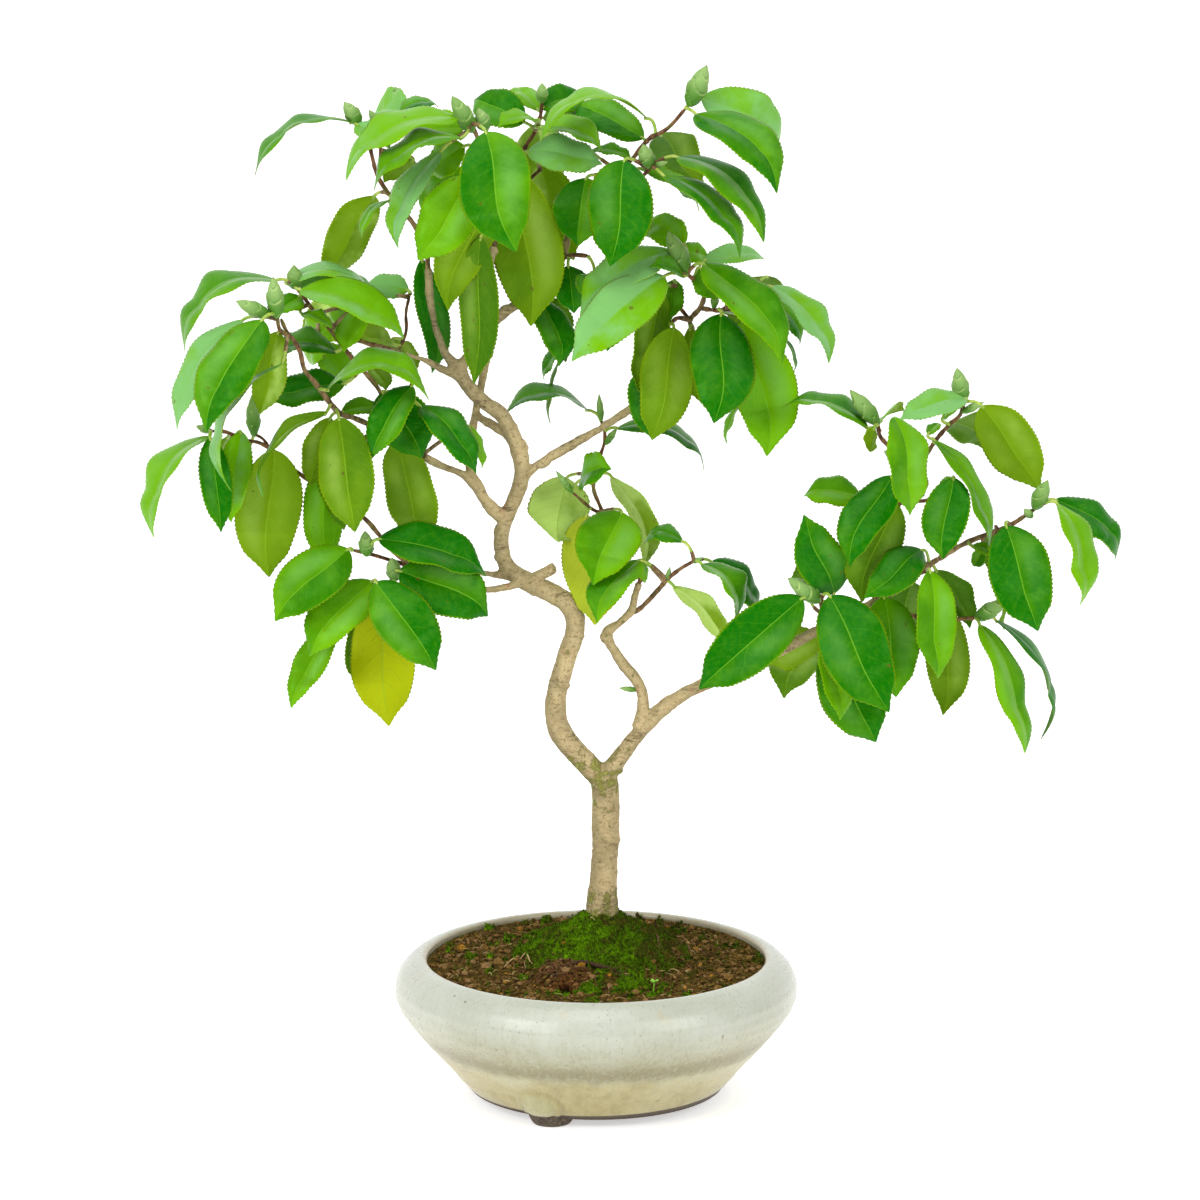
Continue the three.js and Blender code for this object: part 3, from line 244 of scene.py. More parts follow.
# Leafy sprays. Twigs are sketched points (u, v, depth, radius), leaves are (base u, v, depth,
# tip u, v, depth, width, arch, turn, tones), with the tones left out where they are the usual
# ones, and buds are (tip u, v, depth, diameter, base u, v, depth)
SPRAYS = {
    "spray_crown_far_left": dict(twigs=[
        [(213.2, 474, -12, 1.6), (208, 486, -14, 1.5), (202, 494, -15, 1.4), (196, 501, -16, 1.3),
         (191, 508, -18, 1.2), (188, 514, -19, 1.2), (186, 522, -20, 1.1), (183.5, 531, -20, 1),
         (178, 538, -20, 1)],
        [(189, 511, -18, 1), (190, 522, -15, 0.9), (191, 531, -13, 0.9), (196, 539, -10, 0.9)],
    ], leaves=[
        (176, 539, -20, 127.5, 512.5, -30, 24, 12, 80), (187, 502, -10, 162, 457, 4, 22, 5, 155, LIGHT),
        (203, 545, -4, 188, 541, 14, 24, 4, 50, PALE_PAINTED_SHEEN), (178, 538, -22, 195, 526, -26, 15, 2, 45, PALE_PAINTED_SHEEN),
        (207, 520, -6, 192, 509, 0, 15, 2, 150), (200, 544, -8, 219, 546.5, -2, 14, 4, 70),
        (211, 470, -2, 216, 413.5, 8, 15, 4, 20, DEEP), (195, 500, -20, 181, 480.5, -26, 12, 5, 70),
    ], buds=[
        (172, 549, -20, 7.5, 179.5, 538.5, -20), (184.5, 545, -14, 6, 192, 533.5, -12.5),
    ]),
    "spray_crown_left": dict(twigs=[
        [(247.3, 479, -9, 1.8), (249.5, 495, -12, 1.7), (247, 510, -16, 1.6), (241, 523, -22, 1.4),
         (238, 533, -26, 1.3), (235, 538, -28, 1.2)],
        [(241, 523, -22, 1.1), (243.5, 531, -25, 1.1), (242.5, 536, -26, 1.1)],
    ], leaves=[
        (229, 541, -30, 173, 510, -36, 26, 13, 62, LIGHT), (232, 536, -20, 202, 531, -6, 20, 3, 40, LIGHT),
        (231, 531, -36, 187, 505, -44, 22, 11, 66), (220, 524, -30, 199, 476, -34, 20, 8, 50, PALE_PAINTED_SHEEN),
        (232, 527, -17, 216, 513, -8, 18, 2, 30, LIGHT), (237, 511, -40, 209, 470, -46, 27, 5, 15),
        (243, 534, -42, 258, 474, -56, 34, 5, 4), (246, 503, -20, 224, 445, -30, 24, 3, 160),
        (240, 481, -22, 237, 408, -26, 19, 4, 168), (236, 514, 2, 214, 488, 22, 24, 4, 20),
    ], buds=[
        (226, 552, -30, 9, 236, 535, -28), (239, 546, -26, 7.5, 243, 535, -26),
    ]),
    "spray_crown_middle": dict(twigs=[
        [(249.4, 487, -9, 1.4), (254, 500, 0, 1.4), (258, 515, 4, 1.3), (263, 527, 8, 1.2),
         (267.5, 534, 10, 1.2), (270, 541, 11, 1.1), (271, 549, 11, 1.1)],
        [(254, 500, 0, 1), (262, 508, 5, 1), (270, 515, 8, 1)],
    ], leaves=[
        (262, 539, 4, 237, 550, 16, 20, 4, 25), (271, 546, 12, 291, 553, 26, 17, 3, 30),
        (272, 541, 18, 298, 538, 30, 18, 3, 30, PALE_PAINTED_SHEEN), (270, 536, 0, 301, 524.5, -6, 20, 6, 62),
        (264, 524, 2, 301, 518, 0, 20, 5, 35, PALE_PAINTED_SHEEN), (258, 513, -2, 265.5, 437, -10, 35, -2, 174),
        (270, 517, 18, 287, 470, 16, 26, 0, 170, LIGHT), (268, 538, 18, 276, 500, 40, 24, 6, 175, PALE_PAINTED_SHEEN),
        (269, 545, 16, 258, 556, 32, 14, 2, 50), (268, 540, 4, 249, 536, -6, 13, 4, 62),
    ], buds=[
        (271, 558.5, 11, 6, 271, 549, 11),
    ]),
    "spray_crown_right": dict(twigs=[
        [(282.7, 475.6, 5, 1.9), (284.5, 483, 6, 1.8), (291, 495, 8, 1.7), (300, 508, 9, 1.5),
         (309, 516, 6, 1.4), (316, 520.5, 2, 1.3), (324, 530, -4, 1.2), (334, 536, -8, 1.1),
         (343, 546, -12, 1)],
        [(303, 510, 8, 1.2), (313, 510, 0, 1.1), (321, 512, -6, 1.1), (326, 517, -8, 1)],
    ], leaves=[
        (323.5, 541, -4, 270, 529, -16, 24, 17, 80, LIGHT), (321.5, 531, 4, 284, 545, 22, 20, 4, 42),
        (351, 551, -8, 389, 527, 10, 25, 10, 28, PALE_PAINTED_SHEEN), (348, 543, -16, 388.5, 503.5, -34, 27, 10, 44),
        (339, 521.5, -12, 382, 479, -26, 24, 13, 58), (332, 512, -16, 370, 471, -32, 22, 10, 60),
        (320, 516, -1, 349.5, 494.5, 4, 16, 4, 68), (312, 520, -16, 305, 467, -32, 31, 4, 2, DEEP),
        (293, 511, -4, 289, 477, -12, 27, 3, 15), (330, 533, 4, 352, 506, 34, 24, 5, 160),
        (296, 525, 2, 316, 519.5, -2, 10, 3, 60),
    ], buds=[
        (353.5, 567.5, -14, 10, 345, 548, -13), (321.5, 528, -10, 8, 324.5, 516.5, -8),
        (334, 519, -12, 3, 327, 517, -8),
    ]),
    "spray_left_back": dict(twigs=[
        [(200.8, 423.2, -11, 1.5), (192, 426, -11, 1.4), (183, 428.5, -10, 1.3), (174, 432, -8, 1.2),
         (166, 437, -6, 1.1), (158, 443, -4, 1)],
        [(199, 424, -11, 1), (203, 434, -2, 1), (203, 444, 2, 0.9), (205, 453, 6, 0.9)],
    ], leaves=[
        (196, 428, -8, 176, 435, 2, 16, 2, 150, LIGHT), (180, 452, 12, 167, 437, 24, 18, 3, 20, LIGHT),
        (166, 436, 6, 152, 425, 24, 22, 3, 30, LIGHT), (160, 428, 18, 173, 407, 22, 17, 3, 25, LIGHT),
        (172, 446, 26, 150, 430, 44, 24, 5, 165, LIGHT), (196, 430, -4, 208, 413, 6, 14, 2, 155),
        (204, 455, 8, 182, 457, 14, 15, 3, 40, PALE_PAINTED_SHEEN), (186, 417, -2, 193, 405, 2, 11, 1, 150),
    ], buds=[]),
    "spray_left_upper": dict(twigs=[
        [(197, 381.5, -8.5, 1.4), (195, 393, -12, 1.4), (189.5, 405, -15, 1.3), (184, 412, -17, 1.3),
         (178, 418.5, -18, 1.2), (172, 426, -19, 1.2), (165, 435, -20, 1.1), (159, 441.5, -22, 1.1),
         (154, 448.5, -23, 1.1), (148.5, 456, -24, 1)],
    ], leaves=[
        (138, 460, -28, 92.5, 423.5, -34, 27, 18, 68), (143, 459, -22, 186, 454, -14, 24, 9, 82, PALE_PAINTED_SHEEN),
        (150, 455, -30, 202, 431, -34, 24, 9, 54, LIGHT), (150, 457, -18, 188, 452, 0, 20, 7, 58, PALE_PAINTED_SHEEN),
        (168, 424, -20, 137, 420, -18, 20, 8, 62), (172, 408, -20, 133, 400, -22, 20, 3, 45, DEEP),
        (181, 449, -14, 172, 424, -22, 15, 2, 20, LIGHT), (150, 452, -26, 139, 443, -38, 12, 1, 30),
        (151, 443, -30, 166, 436, -32, 10, 3, 60, LIGHT),
    ], buds=[
        (147, 467.5, -24, 8, 147.5, 456, -24),
    ]),
    "spray_left_front": dict(twigs=[
        [(189, 386, -24, 1.6), (177, 391, -22, 1.6), (169, 394, -27, 1.6), (158, 408, -34, 1.5),
         (152.3, 415, -37, 1.4), (150, 424, -40, 1.3), (146, 431, -43, 1.3), (140, 435, -46, 1.1),
         (138.5, 443, -48, 1.1)],
        [(146, 431, -43, 1), (143, 435, -43, 1), (140.5, 440.5, -46, 1)],
    ], leaves=[
        (131, 440, -54, 103, 384, -72, 26, 7, 22), (121, 440, -44, 88.5, 385.5, -52, 18, 12, 45, PALE_PAINTED_SHEEN),
        (139, 434, -44, 130, 393, -50, 19, 3, 150, LIGHT),
        (141, 418, -52, 115.5, 354.5, -62, 24, 16, 74, PALE_PAINTED_SHEEN), (163, 405, -36, 214.5, 400, -42, 24, 17, 68),
        (169.5, 391, -36, 177.5, 334, -46, 27, 1, 172), (165, 391, -24, 155, 357, -28, 17, 2, 155),
        (163, 393.5, -33, 132, 351, -60, 20, 12, 100), (171, 394, -18, 192, 393, -8, 12, 4, 60),
    ], buds=[
        (136.5, 461.5, -48, 8.5, 138.5, 442, -48), (118, 449.5, -52, 7, 134, 442.5, -49),
    ]),
    "spray_left_inner": dict(twigs=[
        [(210.6, 372, -9.3, 1.7), (204, 375, -12, 1.6), (200, 380.5, -15, 1.5), (202, 390, -22, 1.3),
         (204, 401, -28, 1.2), (206, 409, -30, 1)],
        [(200, 380.5, -15, 1.1), (192, 383, -22, 1.1), (187, 389, -26, 1)],
    ], leaves=[
        (191, 404, -22, 211, 371, -26, 27, 4, 10, DEEP), (206, 407, -34, 186, 371, -40, 18, 7, 25, DEEP),
        (210, 397, -30, 238, 363.5, -38, 20, 8, 45, DEEP), (199, 380, -22, 209, 322, -20, 26, 2, 160),
        (160, 366, -21, 163, 318, -22, 20, 4, 20), (163, 365, -26, 172, 335, -30, 14, 2, 165),
        (236, 387, -12, 241, 366, -16, 10, 1, 70),
    ], buds=[]),
    "spray_left_low": dict(twigs=[
        [(225.4, 317.2, 8.1, 1.5), (214, 318.3, 8, 1.5), (204, 319, 6, 1.4), (196, 325, 3, 1.4),
         (190, 332, 0, 1.3), (182, 341, -5, 1.3), (168, 350.5, -12, 1.2), (157, 358, -17, 1.2),
         (146, 366, -22, 1.1), (135, 375.5, -28, 1.1), (129, 378.8, -32, 1), (122, 380, -36, 1),
         (113, 384, -40, 1), (105, 384.5, -42, 0.9)],
        [(135, 375.5, -28, 0.9), (131.5, 380.5, -28, 0.9), (127, 383, -28, 0.9)],
    ], leaves=[
        (105, 382, -46, 77, 331, -56, 24, 14, 62), (120.5, 384, -40, 115.5, 339, -46, 17, 2, 12, LIGHT),
        (137, 375, -30, 134.5, 311.5, -38, 31, -2, 175), (114, 382, -34, 106, 360, -22, 16, 2, 120),
        (105, 381, -50, 110.5, 334, -60, 15, 2, 15, DEEP),
        (126, 380, -26, 121, 361, -24, 12, 1, 110, LIGHT),
    ], buds=[
        (126, 402.5, -28, 7, 127, 383, -28), (98, 387, -43, 4, 105, 384.5, -42),
    ]),
    "spray_low_front": dict(twigs=[
        [(225.4, 308.8, -14.3, 1.4), (213, 313.5, -20, 1.3), (203, 317.5, -24, 1.2), (195, 320, -27, 1.1),
         (185, 323, -30, 1), (176, 325, -32, 1)],
        [(203, 317.5, -24, 1), (197, 311, -27, 1), (190, 306.5, -28, 1), (186, 305, -28, 0.9)],
    ], leaves=[
        (189.5, 330.5, -34, 243, 312, -28, 26, 6, 50, DEEP),
        (200, 314.5, -34, 244, 292, -30, 30, 6, 28, DEEP), (188, 309, -42, 218, 265, -52, 27, 5, 12),
        (174, 325.5, -34, 137.5, 289.5, -46, 26, 5, 12), (186, 309.5, -32, 155, 272, -42, 24, 6, 20),
        (168, 291, -24, 145.5, 246, -34, 16, 3, 22), (190, 301, -20, 194.5, 237, -28, 32, 1, 174, OLD),
        (185, 300, -12, 180, 256, -14, 17, 1, 150),
    ], buds=[
        (182.5, 334.5, -31, 7.5, 183.5, 322.5, -31), (196, 321, -34, 7.5, 197.5, 310.5, -27.5),
    ]),
    "spray_middle": dict(twigs=[
        [(278.8, 468.6, 4.4, 2), (281, 472, 5, 1.9), (282, 473.8, 5, 1.8)],
        [(280.5, 471, 5, 1.5), (287, 472.5, 0, 1.3), (294, 472, -3, 1.1)],
        [(281, 472, 5, 1.2), (276, 462, 14, 1.1), (273, 453, 16, 1)],
    ], leaves=[
        (284, 467, 0, 287, 443.5, -4, 17, 3, 12, DEEP), (271, 450, 8, 279.5, 417, 0, 18, 4, 25, DEEP),
        (276, 451, 16, 283, 419, 16, 17, 2, 160, DEEP), (297, 463, -6, 292, 451, -12, 14, 2, 20),
        (279.5, 420, 22, 275, 388.5, 24, 12, 2, 95), (283, 430, 32, 272, 410, 40, 10, 2, 60),
    ], buds=[]),
    "spray_below_middle": dict(twigs=[
        [(320.2, 311.4, -1.2, 1.3), (314.5, 313, 4, 1.3), (309, 325, 9, 1.3), (304, 337, 11, 1.3),
         (300, 347, 10, 1.2), (297, 354.5, 9, 1.2), (297, 361, 10, 1.1), (299, 369, 14, 1.1),
         (302, 378, 18, 1), (302.3, 384, 20, 1), (300.5, 390, 21, 0.9)],
        [(301.5, 343, 10.5, 1), (296, 345.5, 6, 1), (290, 350.5, 2, 0.9), (285.5, 354.5, 0, 0.9)],
    ], leaves=[
        (283, 361, 18, 279, 329, -4, 31, 1, 165, PALE_PAINTED_SHEEN), (290, 360, 2, 305.5, 365.5, -8, 20, 3, 50),
        (306, 361.5, 8, 320, 314, 6, 22, 9, 128, PALE_PAINTED_SHEEN), (311, 344, 2, 296.5, 307.5, -20, 30, 4, 8),
        (293, 342, 4, 297.5, 287.5, -12, 30, -1, 172, YELLOWING),
        (294, 395, 20, 252.5, 393, 10, 22, 10, 76), (309, 386, 22, 352, 365, 30, 22, 12, 80),
    ], buds=[
        (299.5, 403, 21, 3.6, 300.5, 389.5, 21), (308.5, 386, 20, 3.6, 302.8, 378, 18),
        (278, 364.5, -2, 3.6, 286, 354, 0),
    ]),
    "spray_small_right": dict(twigs=[
        [(318.4, 294.6, 2.2, 1.6), (323, 298.5, 1, 1.5), (329, 305, -2, 1.4), (334, 310.5, -4, 1.3),
         (340, 315.5, -6, 1.2), (347, 319.5, -8, 1.1)],
    ], leaves=[
        (319, 320, -6, 298.5, 288.5, -26, 20, 5, 38), (337, 307, -4, 362, 276, -2, 21, 6, 128, PALE_PAINTED_SHEEN),
        (351, 318, -10, 368, 291, -14, 21, 9, 62), (356, 319, -2, 377.5, 294, 8, 20, 8, 58, DEEP),
        (341, 329.5, -10, 322, 328, -4, 15, 6, 70), (320, 320, -2, 322.5, 308.5, 0, 6, 1, 40, LIGHT),
    ], buds=[
        (335, 316.5, -4, 2.6, 333.5, 309.5, -4), (351.5, 321, -9, 2.6, 346.5, 319, -8),
        (309.5, 256, -6, 2.8, 318.5, 255, -6),
    ]),
    "spray_cluster": dict(twigs=[
        [(336.6, 419, 13.1, 1.7), (341, 427, 14, 1.6), (346, 434, 14, 1.6), (345, 440, 10, 1.6),
         (350, 446, 4, 1.5), (352, 453, 0, 1.4), (348, 459, -4, 1.3), (343.5, 463, -7, 1.2)],
        [(350, 446, 4, 1.4), (356, 445, -2, 1.3), (361, 444.5, -6, 1.2)],
        [(345, 440, 10, 1.4), (339, 441, 3, 1.3), (335, 438, -2, 1.2)],
        [(345, 440, 10, 1), (339, 448, 9, 1), (338, 457, 8, 1)],
        [(341, 427, 14, 1.2), (334, 425, 9, 1)],
    ], leaves=[
        (332, 462, -16, 286, 419.5, -36, 27, 7, 24, PALE_PAINTED_SHEEN), (335, 475, -6, 290, 442, -18, 24, 8, 42, PALE_PAINTED_SHEEN),
        (352, 468, -14, 391, 418.5, -30, 25, 8, 36), (350, 466, -2, 358, 450, -4, 17, 2, 25),
        (342, 478, 0, 323, 489, 14, 18, 4, 35, LIGHT), (360.5, 443, -10, 357, 388.5, -24, 31, 3, 2, DEEP),
        (371, 440, 0, 383.5, 372, -10, 33, 4, 12), (361, 444, -16, 391, 420, -20, 17, 6, 82),
        (386, 457, 0, 414.5, 418.5, -6, 20, 8, 52, PALE_PAINTED_SHEEN), (331, 454, 2, 319, 404.5, -6, 19, 1, 155),
        (337, 436, -6, 326, 380, -16, 26, -1, 175), (322, 416, 4, 326, 380.5, 2, 21, 2, 15, DEEP),
        (384, 462, 8, 372, 430, 30, 26, 5, 165), (386, 450, 10, 400, 428, 10, 14, 4, 55),
        (337, 460, 10, 334.5, 439, 4, 13, 2, 20), (318, 450, 6, 303.5, 424.5, 0, 14, 2, 30, DEEP),
        (345, 436, 10, 351, 398, 4, 13, 1, 160), (342, 462, -10, 325, 466.5, -20, 10, 3, 50),
        (340, 474, 2, 354, 470, 12, 12, 3, 45), (352, 470, 6, 382, 470.5, 22, 12, 3, 50, PALE_PAINTED_SHEEN),
        (391, 432, 6, 396.5, 413.5, 4, 8, 3, 78), (372, 400, 4, 363.5, 378, 2, 8, 3, 70),
    ], buds=[
        (334, 484.5, -10, 9.5, 343, 464, -7), (358, 456, -2, 4, 357, 446, -2),
    ]),
    "spray_right_near": dict(twigs=[
        [(411.5, 290.6, -19, 1.6), (411, 295, -20, 1.5), (410.5, 300.5, -22, 1.3)],
    ], leaves=[
        (401, 301, -26, 349.5, 255.5, -30, 28, 5, 12, DEEP),
        (415, 302, -30, 444.5, 244, -50, 33, 6, 8, DEEP),
        (417, 303, -18, 402, 342.5, -24, 24, 6, 15, DEEP), (405, 300, -8, 401, 321, -2, 15, 1, 150),
    ], buds=[
        (394, 311, -26, 9, 409.5, 300, -22),
    ]),
    "spray_right_under": dict(twigs=[
        [(412, 283, -18, 1.4), (412.5, 280.5, -18, 1.3), (413, 277, -18, 1.1)],
    ], leaves=[
        (411, 282, -12, 375, 270, 2, 20, 2, 165), (413, 279, -24, 420, 240, -34, 17, 3, 32),
        (414, 276, -14, 438, 229, -20, 31, 4, 12, DEEP), (408, 281, -8, 392, 251, 22, 26, 4, 170),
    ], buds=[]),
    "spray_right_middle": dict(twigs=[
        [(441.7, 301, -16, 2.1), (450, 306, -15, 2), (459, 314, -13, 1.9), (470, 321, -11, 1.8)],
        [(456, 311.6, -13.6, 1.1), (461, 313.5, -18, 1.1), (464, 314.5, -20, 1)],
    ], leaves=[
        (442, 301.5, -20, 448, 251.5, -32, 27, 5, 12), (461, 325, -15, 432, 301, -34, 20, 5, 30, DEEP),
        (465, 314.5, -24, 469, 261, -32, 21, 4, 20), (468, 315, -12, 485, 286, -8, 18, 4, 140, DEEP),
        (472, 298, -6, 471.5, 242.5, -8, 22, 1, 165), (456, 309, -4, 447, 268, 12, 24, 4, 170, DEEP),
    ], buds=[]),
    "spray_right_tip": dict(twigs=[
        [(471.2, 321.7, -10.8, 1.7), (480, 327, -9, 1.6), (490, 331.5, -8, 1.5), (500, 335, -8, 1.4),
         (507, 338.5, -9, 1.3), (513, 342.5, -10, 1.2), (518, 346, -10, 1.2)],
    ], leaves=[
        (528, 350, -6, 557.5, 320, 4, 20, 9, 48, DEEP), (529, 348, -14, 540, 297.5, -22, 21, 10, 48),
        (503, 337, -18, 519, 284.5, -30, 30, 5, 4, DEEP), (498, 336, 2, 512, 300, 26, 24, 5, 168, DEEP),
        (486, 327, -12, 500, 322, -12, 8, 2, 55, LIGHT), (492, 325, -2, 486.5, 317, 0, 7, 1, 20),
        (506, 309, 4, 502, 285, 8, 11, 1, 110),
    ], buds=[
        (524, 360, -12, 8, 517.5, 346, -10), (512, 345.5, -13, 4, 516, 341.5, -11),
    ]),
    "spray_right_upright": dict(twigs=[
        [(437.5, 302.6, -16.5, 1.8), (441, 315, -14, 1.8), (445, 332, -12, 1.7), (449, 346, -12, 1.6),
         (449.8, 353, -12, 1.6), (450, 361, -14, 1.4), (448, 370, -17, 1.3), (444, 377, -20, 1.2),
         (440, 382, -22, 1.2), (439, 388, -23, 1.1)],
    ], leaves=[
        (446, 362, -18, 425, 317, -30, 22, 5, 22, DEEP), (447, 349, -16, 431, 299, -24, 25, 0, 170),
        (430, 352, -8, 402, 352, -2, 18, 4, 48), (434, 386, -26, 391, 396, -18, 24, 8, 78),
        (440, 389, -14, 452, 395, 2, 15, 2, 120), (437, 386, -27, 435, 374, -32, 9, 1, 140, LIGHT),
        (451, 366, -8, 462, 352, 12, 12, 1, 160),
    ], buds=[
        (425, 405, -28, 8.5, 438.5, 388.5, -23), (442, 374.5, -20, 4, 448, 371, -17.5),
    ]),
    "spray_right_upper": dict(twigs=[
        [(452.2, 355.2, -11, 1.8), (455, 361, -9, 1.7), (462, 371, -6, 1.4), (468, 380, -4, 1.3),
         (474, 387, -4, 1.2), (480, 392.5, -5, 1.2), (482, 399, -6, 1.2)],
    ], leaves=[
        (447, 391.5, -34, 455, 342.5, -40, 23, 8, 32), (483, 401, -8, 450, 390, -20, 17, 4, 48, PALE_PAINTED_SHEEN),
        (467, 380, -9, 494, 325, -16, 22, 9, 66), (491, 397, -8, 520, 355, -4, 27, 4, 162),
        (476, 389, 0, 500, 372, 26, 24, 5, 150), (471, 391, -6, 482, 399, -12, 7, 1, 60),
        (464, 383, 0, 470.5, 388, 4, 7, 1, 60),
    ], buds=[
        (478.5, 416, -6, 8.5, 481.5, 399.5, -6), (492, 399, -8, 4, 481.5, 394, -6),
    ]),
    "spray_right_slender": dict(twigs=[
        [(451.5, 348.6, -12, 1.2), (458, 349.2, -13, 1.1), (464, 350, -14, 1.1), (470, 352.5, -15, 1),
         (476, 358, -16, 1)],
    ], leaves=[
        (477, 361, -19, 471.5, 320.5, -26, 22, 4, 14, DEEP), (476, 361, -8, 470, 350, -2, 9, 1, 60),
    ], buds=[]),
    "spray_right_low": dict(twigs=[
        [(438, 295, -15.5, 1.4), (452, 293, -12, 1.3), (465, 290.5, -12, 1.2), (477, 290.5, -13, 1.2),
         (488, 291, -14, 1.2)],
    ], leaves=[
        (490, 287.5, -18, 512.5, 223.5, -26, 22, 9, 52),
        (498, 290, -12, 520.5, 230.5, -6, 20, 13, 82, DEEP),
    ], buds=[
        (504, 300, -16, 8, 488.5, 291, -14),
    ]),
}


def unit(vectors):
    """Each vector divided by its length."""
    return vectors / np.linalg.norm(vectors, axis=-1, keepdims=True)


def ramp(low, high, values):
    """0 below low, 1 above high, and 3t^2 - 2t^3 between them."""
    t = np.clip((values - low) / (high - low), 0, 1)
    return t * t * (3 - 2 * t)


def unevenness(points, wavelength, seed):
    """Values from about -1 to 1: twice the mean of eight sine waves that run through the points in
    drawn directions, each about one wavelength long."""
    waves = 8
    draw = np.random.default_rng(seed)
    directions = unit(draw.normal(size=(waves, 3)))
    directions *= draw.uniform(0.6, 1.6, size=(waves, 1))
    phases = draw.uniform(0, 2 * math.pi, size=waves)
    turns = points @ directions.T * (2 * math.pi / wavelength) + phases
    return np.sin(turns).sum(-1) * (2 / waves)


def place(points):
    """Sketched points (u, v, depth), and any further columns left out, as points in the part's frame
    in millimetres: the line of sight through (u, v) is followed until it is the spread depth behind
    the trunk's plane."""
    points = np.asarray(points, float)
    across = (points[..., 0] - SHEET / 2) / VIEW_DISTANCE
    up = (points[..., 1] - SHEET / 2) / VIEW_DISTANCE
    sight = np.stack([
        across,
        math.cos(VIEW_PITCH) + up * math.sin(VIEW_PITCH),
        -math.sin(VIEW_PITCH) + up * math.cos(VIEW_PITCH),
    ], -1)
    reach = (DEPTH_SPREAD * points[..., 2] - EYE[1]) / sight[..., 1]
    return EYE + BOWL_OFFSET + sight * reach[..., None]


def smooth_run(points, spans):
    """Points on a Catmull-Rom curve through the given ones, with so many spans between two of them;
    any further columns, such as a radius, are carried along in the same way."""
    points = np.asarray(points, float)
    count = len(points)
    padded = np.vstack([2 * points[0] - points[1], points, 2 * points[-1] - points[-2]])
    t = np.linspace(0, count - 1, (count - 1) * spans + 1)
    k = np.minimum(t.astype(int), count - 2)
    f = (t - k)[:, None]
    a, b, c, d = padded[k], padded[k + 1], padded[k + 2], padded[k + 3]
    squared, cubed = 2 * a - 5 * b + 4 * c - d, 3 * b - a - 3 * c + d
    return 0.5 * (2 * b + (c - a) * f + squared * f**2 + cubed * f**3)


def skin(rings, slots=0, tone=0.0, chart=None, round_again=False):
    """A closed surface through a grid of points whose columns go round. Its two ends are closed by
    fans to the middle of each end ring, or with round_again the last ring joins the first.
    slots is one material slot or one for each column of faces; chart is a pair of values a point."""
    rows, columns = rings.shape[:2]
    here = np.arange(columns)
    there = (here + 1) % columns
    starts = np.arange(rows if round_again else rows - 1)[:, None] * columns
    nexts = (starts + columns) % (rows * columns)
    quads = np.stack([starts + here, starts + there, nexts + there, nexts + here], -1)
    slots = np.broadcast_to(slots, quads.shape[:2]).ravel()
    points = rings.reshape(-1, 3)
    chart = np.zeros((len(points), 2)) if chart is None else chart.reshape(-1, 2)
    tris = np.zeros((0, 3), int)
    if not round_again:
        first, last = len(points), len(points) + 1
        end = (rows - 1) * columns
        tris = np.concatenate([
            np.stack([there, here, np.full(columns, first)], -1),
            np.stack([end + here, end + there, np.full(columns, last)], -1),
        ])
        points = np.vstack([points, rings[0].mean(0), rings[-1].mean(0)])
        chart = np.vstack([chart, chart[0], chart[end]])
        slots = np.concatenate([slots, slots[:columns], slots[:columns]])
    made = dict(
        points=points,
        quads=quads.reshape(-1, 4),
        tris=tris,
        slots=slots,
        chart=chart,
        tone=np.broadcast_to(tone, len(points)).astype(float),
    )
    return facing_out(made)


def facing_out(part):
    """Turns every face of a closed part round if the volume inside it comes out negative."""
    quads, tris = part["quads"], part["tris"]
    corners = np.concatenate([quads[:, [0, 1, 2]], quads[:, [0, 2, 3]], tris])
    a, b, c = (part["points"][corners[:, k]] for k in range(3))
    if np.einsum("ij,ij->i", a, np.cross(b, c)).sum() < 0:
        part["quads"] = quads[:, ::-1]
        part["tris"] = tris[:, ::-1]
    return part


def ways_round(along):
    """Two directions square to each one given and to each other, the first on the hinted side."""
    side = unit(CORNER_HINT - (along @ CORNER_HINT)[..., None] * along)
    return side, np.cross(along, side)


def round_points(count):
    """So many angles round a full turn."""
    return 2 * math.pi * np.arange(count) / count


def tube(path, radii, sides, slots=0, tone=0.0):
    """A round section carried along a path and square to it. The chart holds the share of a turn
    and the millimetres run."""
    side, up = ways_round(unit(np.gradient(path, axis=0)))
    angle = round_points(sides)
    section = np.cos(angle)[:, None] * side[:, None] + np.sin(angle)[:, None] * up[:, None]
    radii = np.broadcast_to(radii, len(path))
    rings = path[:, None] + radii[:, None, None] * section
    chart = np.stack(np.broadcast_arrays(angle[None] / (2 * math.pi), run_along(path)[:, None]), -1)
    return skin(rings, slots, tone, chart)


def run_along(path):
    """How far each point of a path lies from its start, along the path."""
    return np.concatenate([[0], np.cumsum(np.linalg.norm(np.diff(path, axis=0), axis=1))])


def joined(parts):
    """All parts as one, the numbers of their points shifted to follow each other."""
    starts = np.cumsum([0] + [len(part["points"]) for part in parts])
    whole = {
        key: np.concatenate([part[key] for part in parts]) for key in ("points", "chart", "tone")
    }
    for key in ("quads", "tris"):
        whole[key] = np.concatenate([part[key] + start for part, start in zip(parts, starts)])
    quad_slots = [part["slots"][:len(part["quads"])] for part in parts]
    tri_slots = [part["slots"][len(part["quads"]):] for part in parts]
    whole["slots"] = np.concatenate(quad_slots + tri_slots)
    return whole


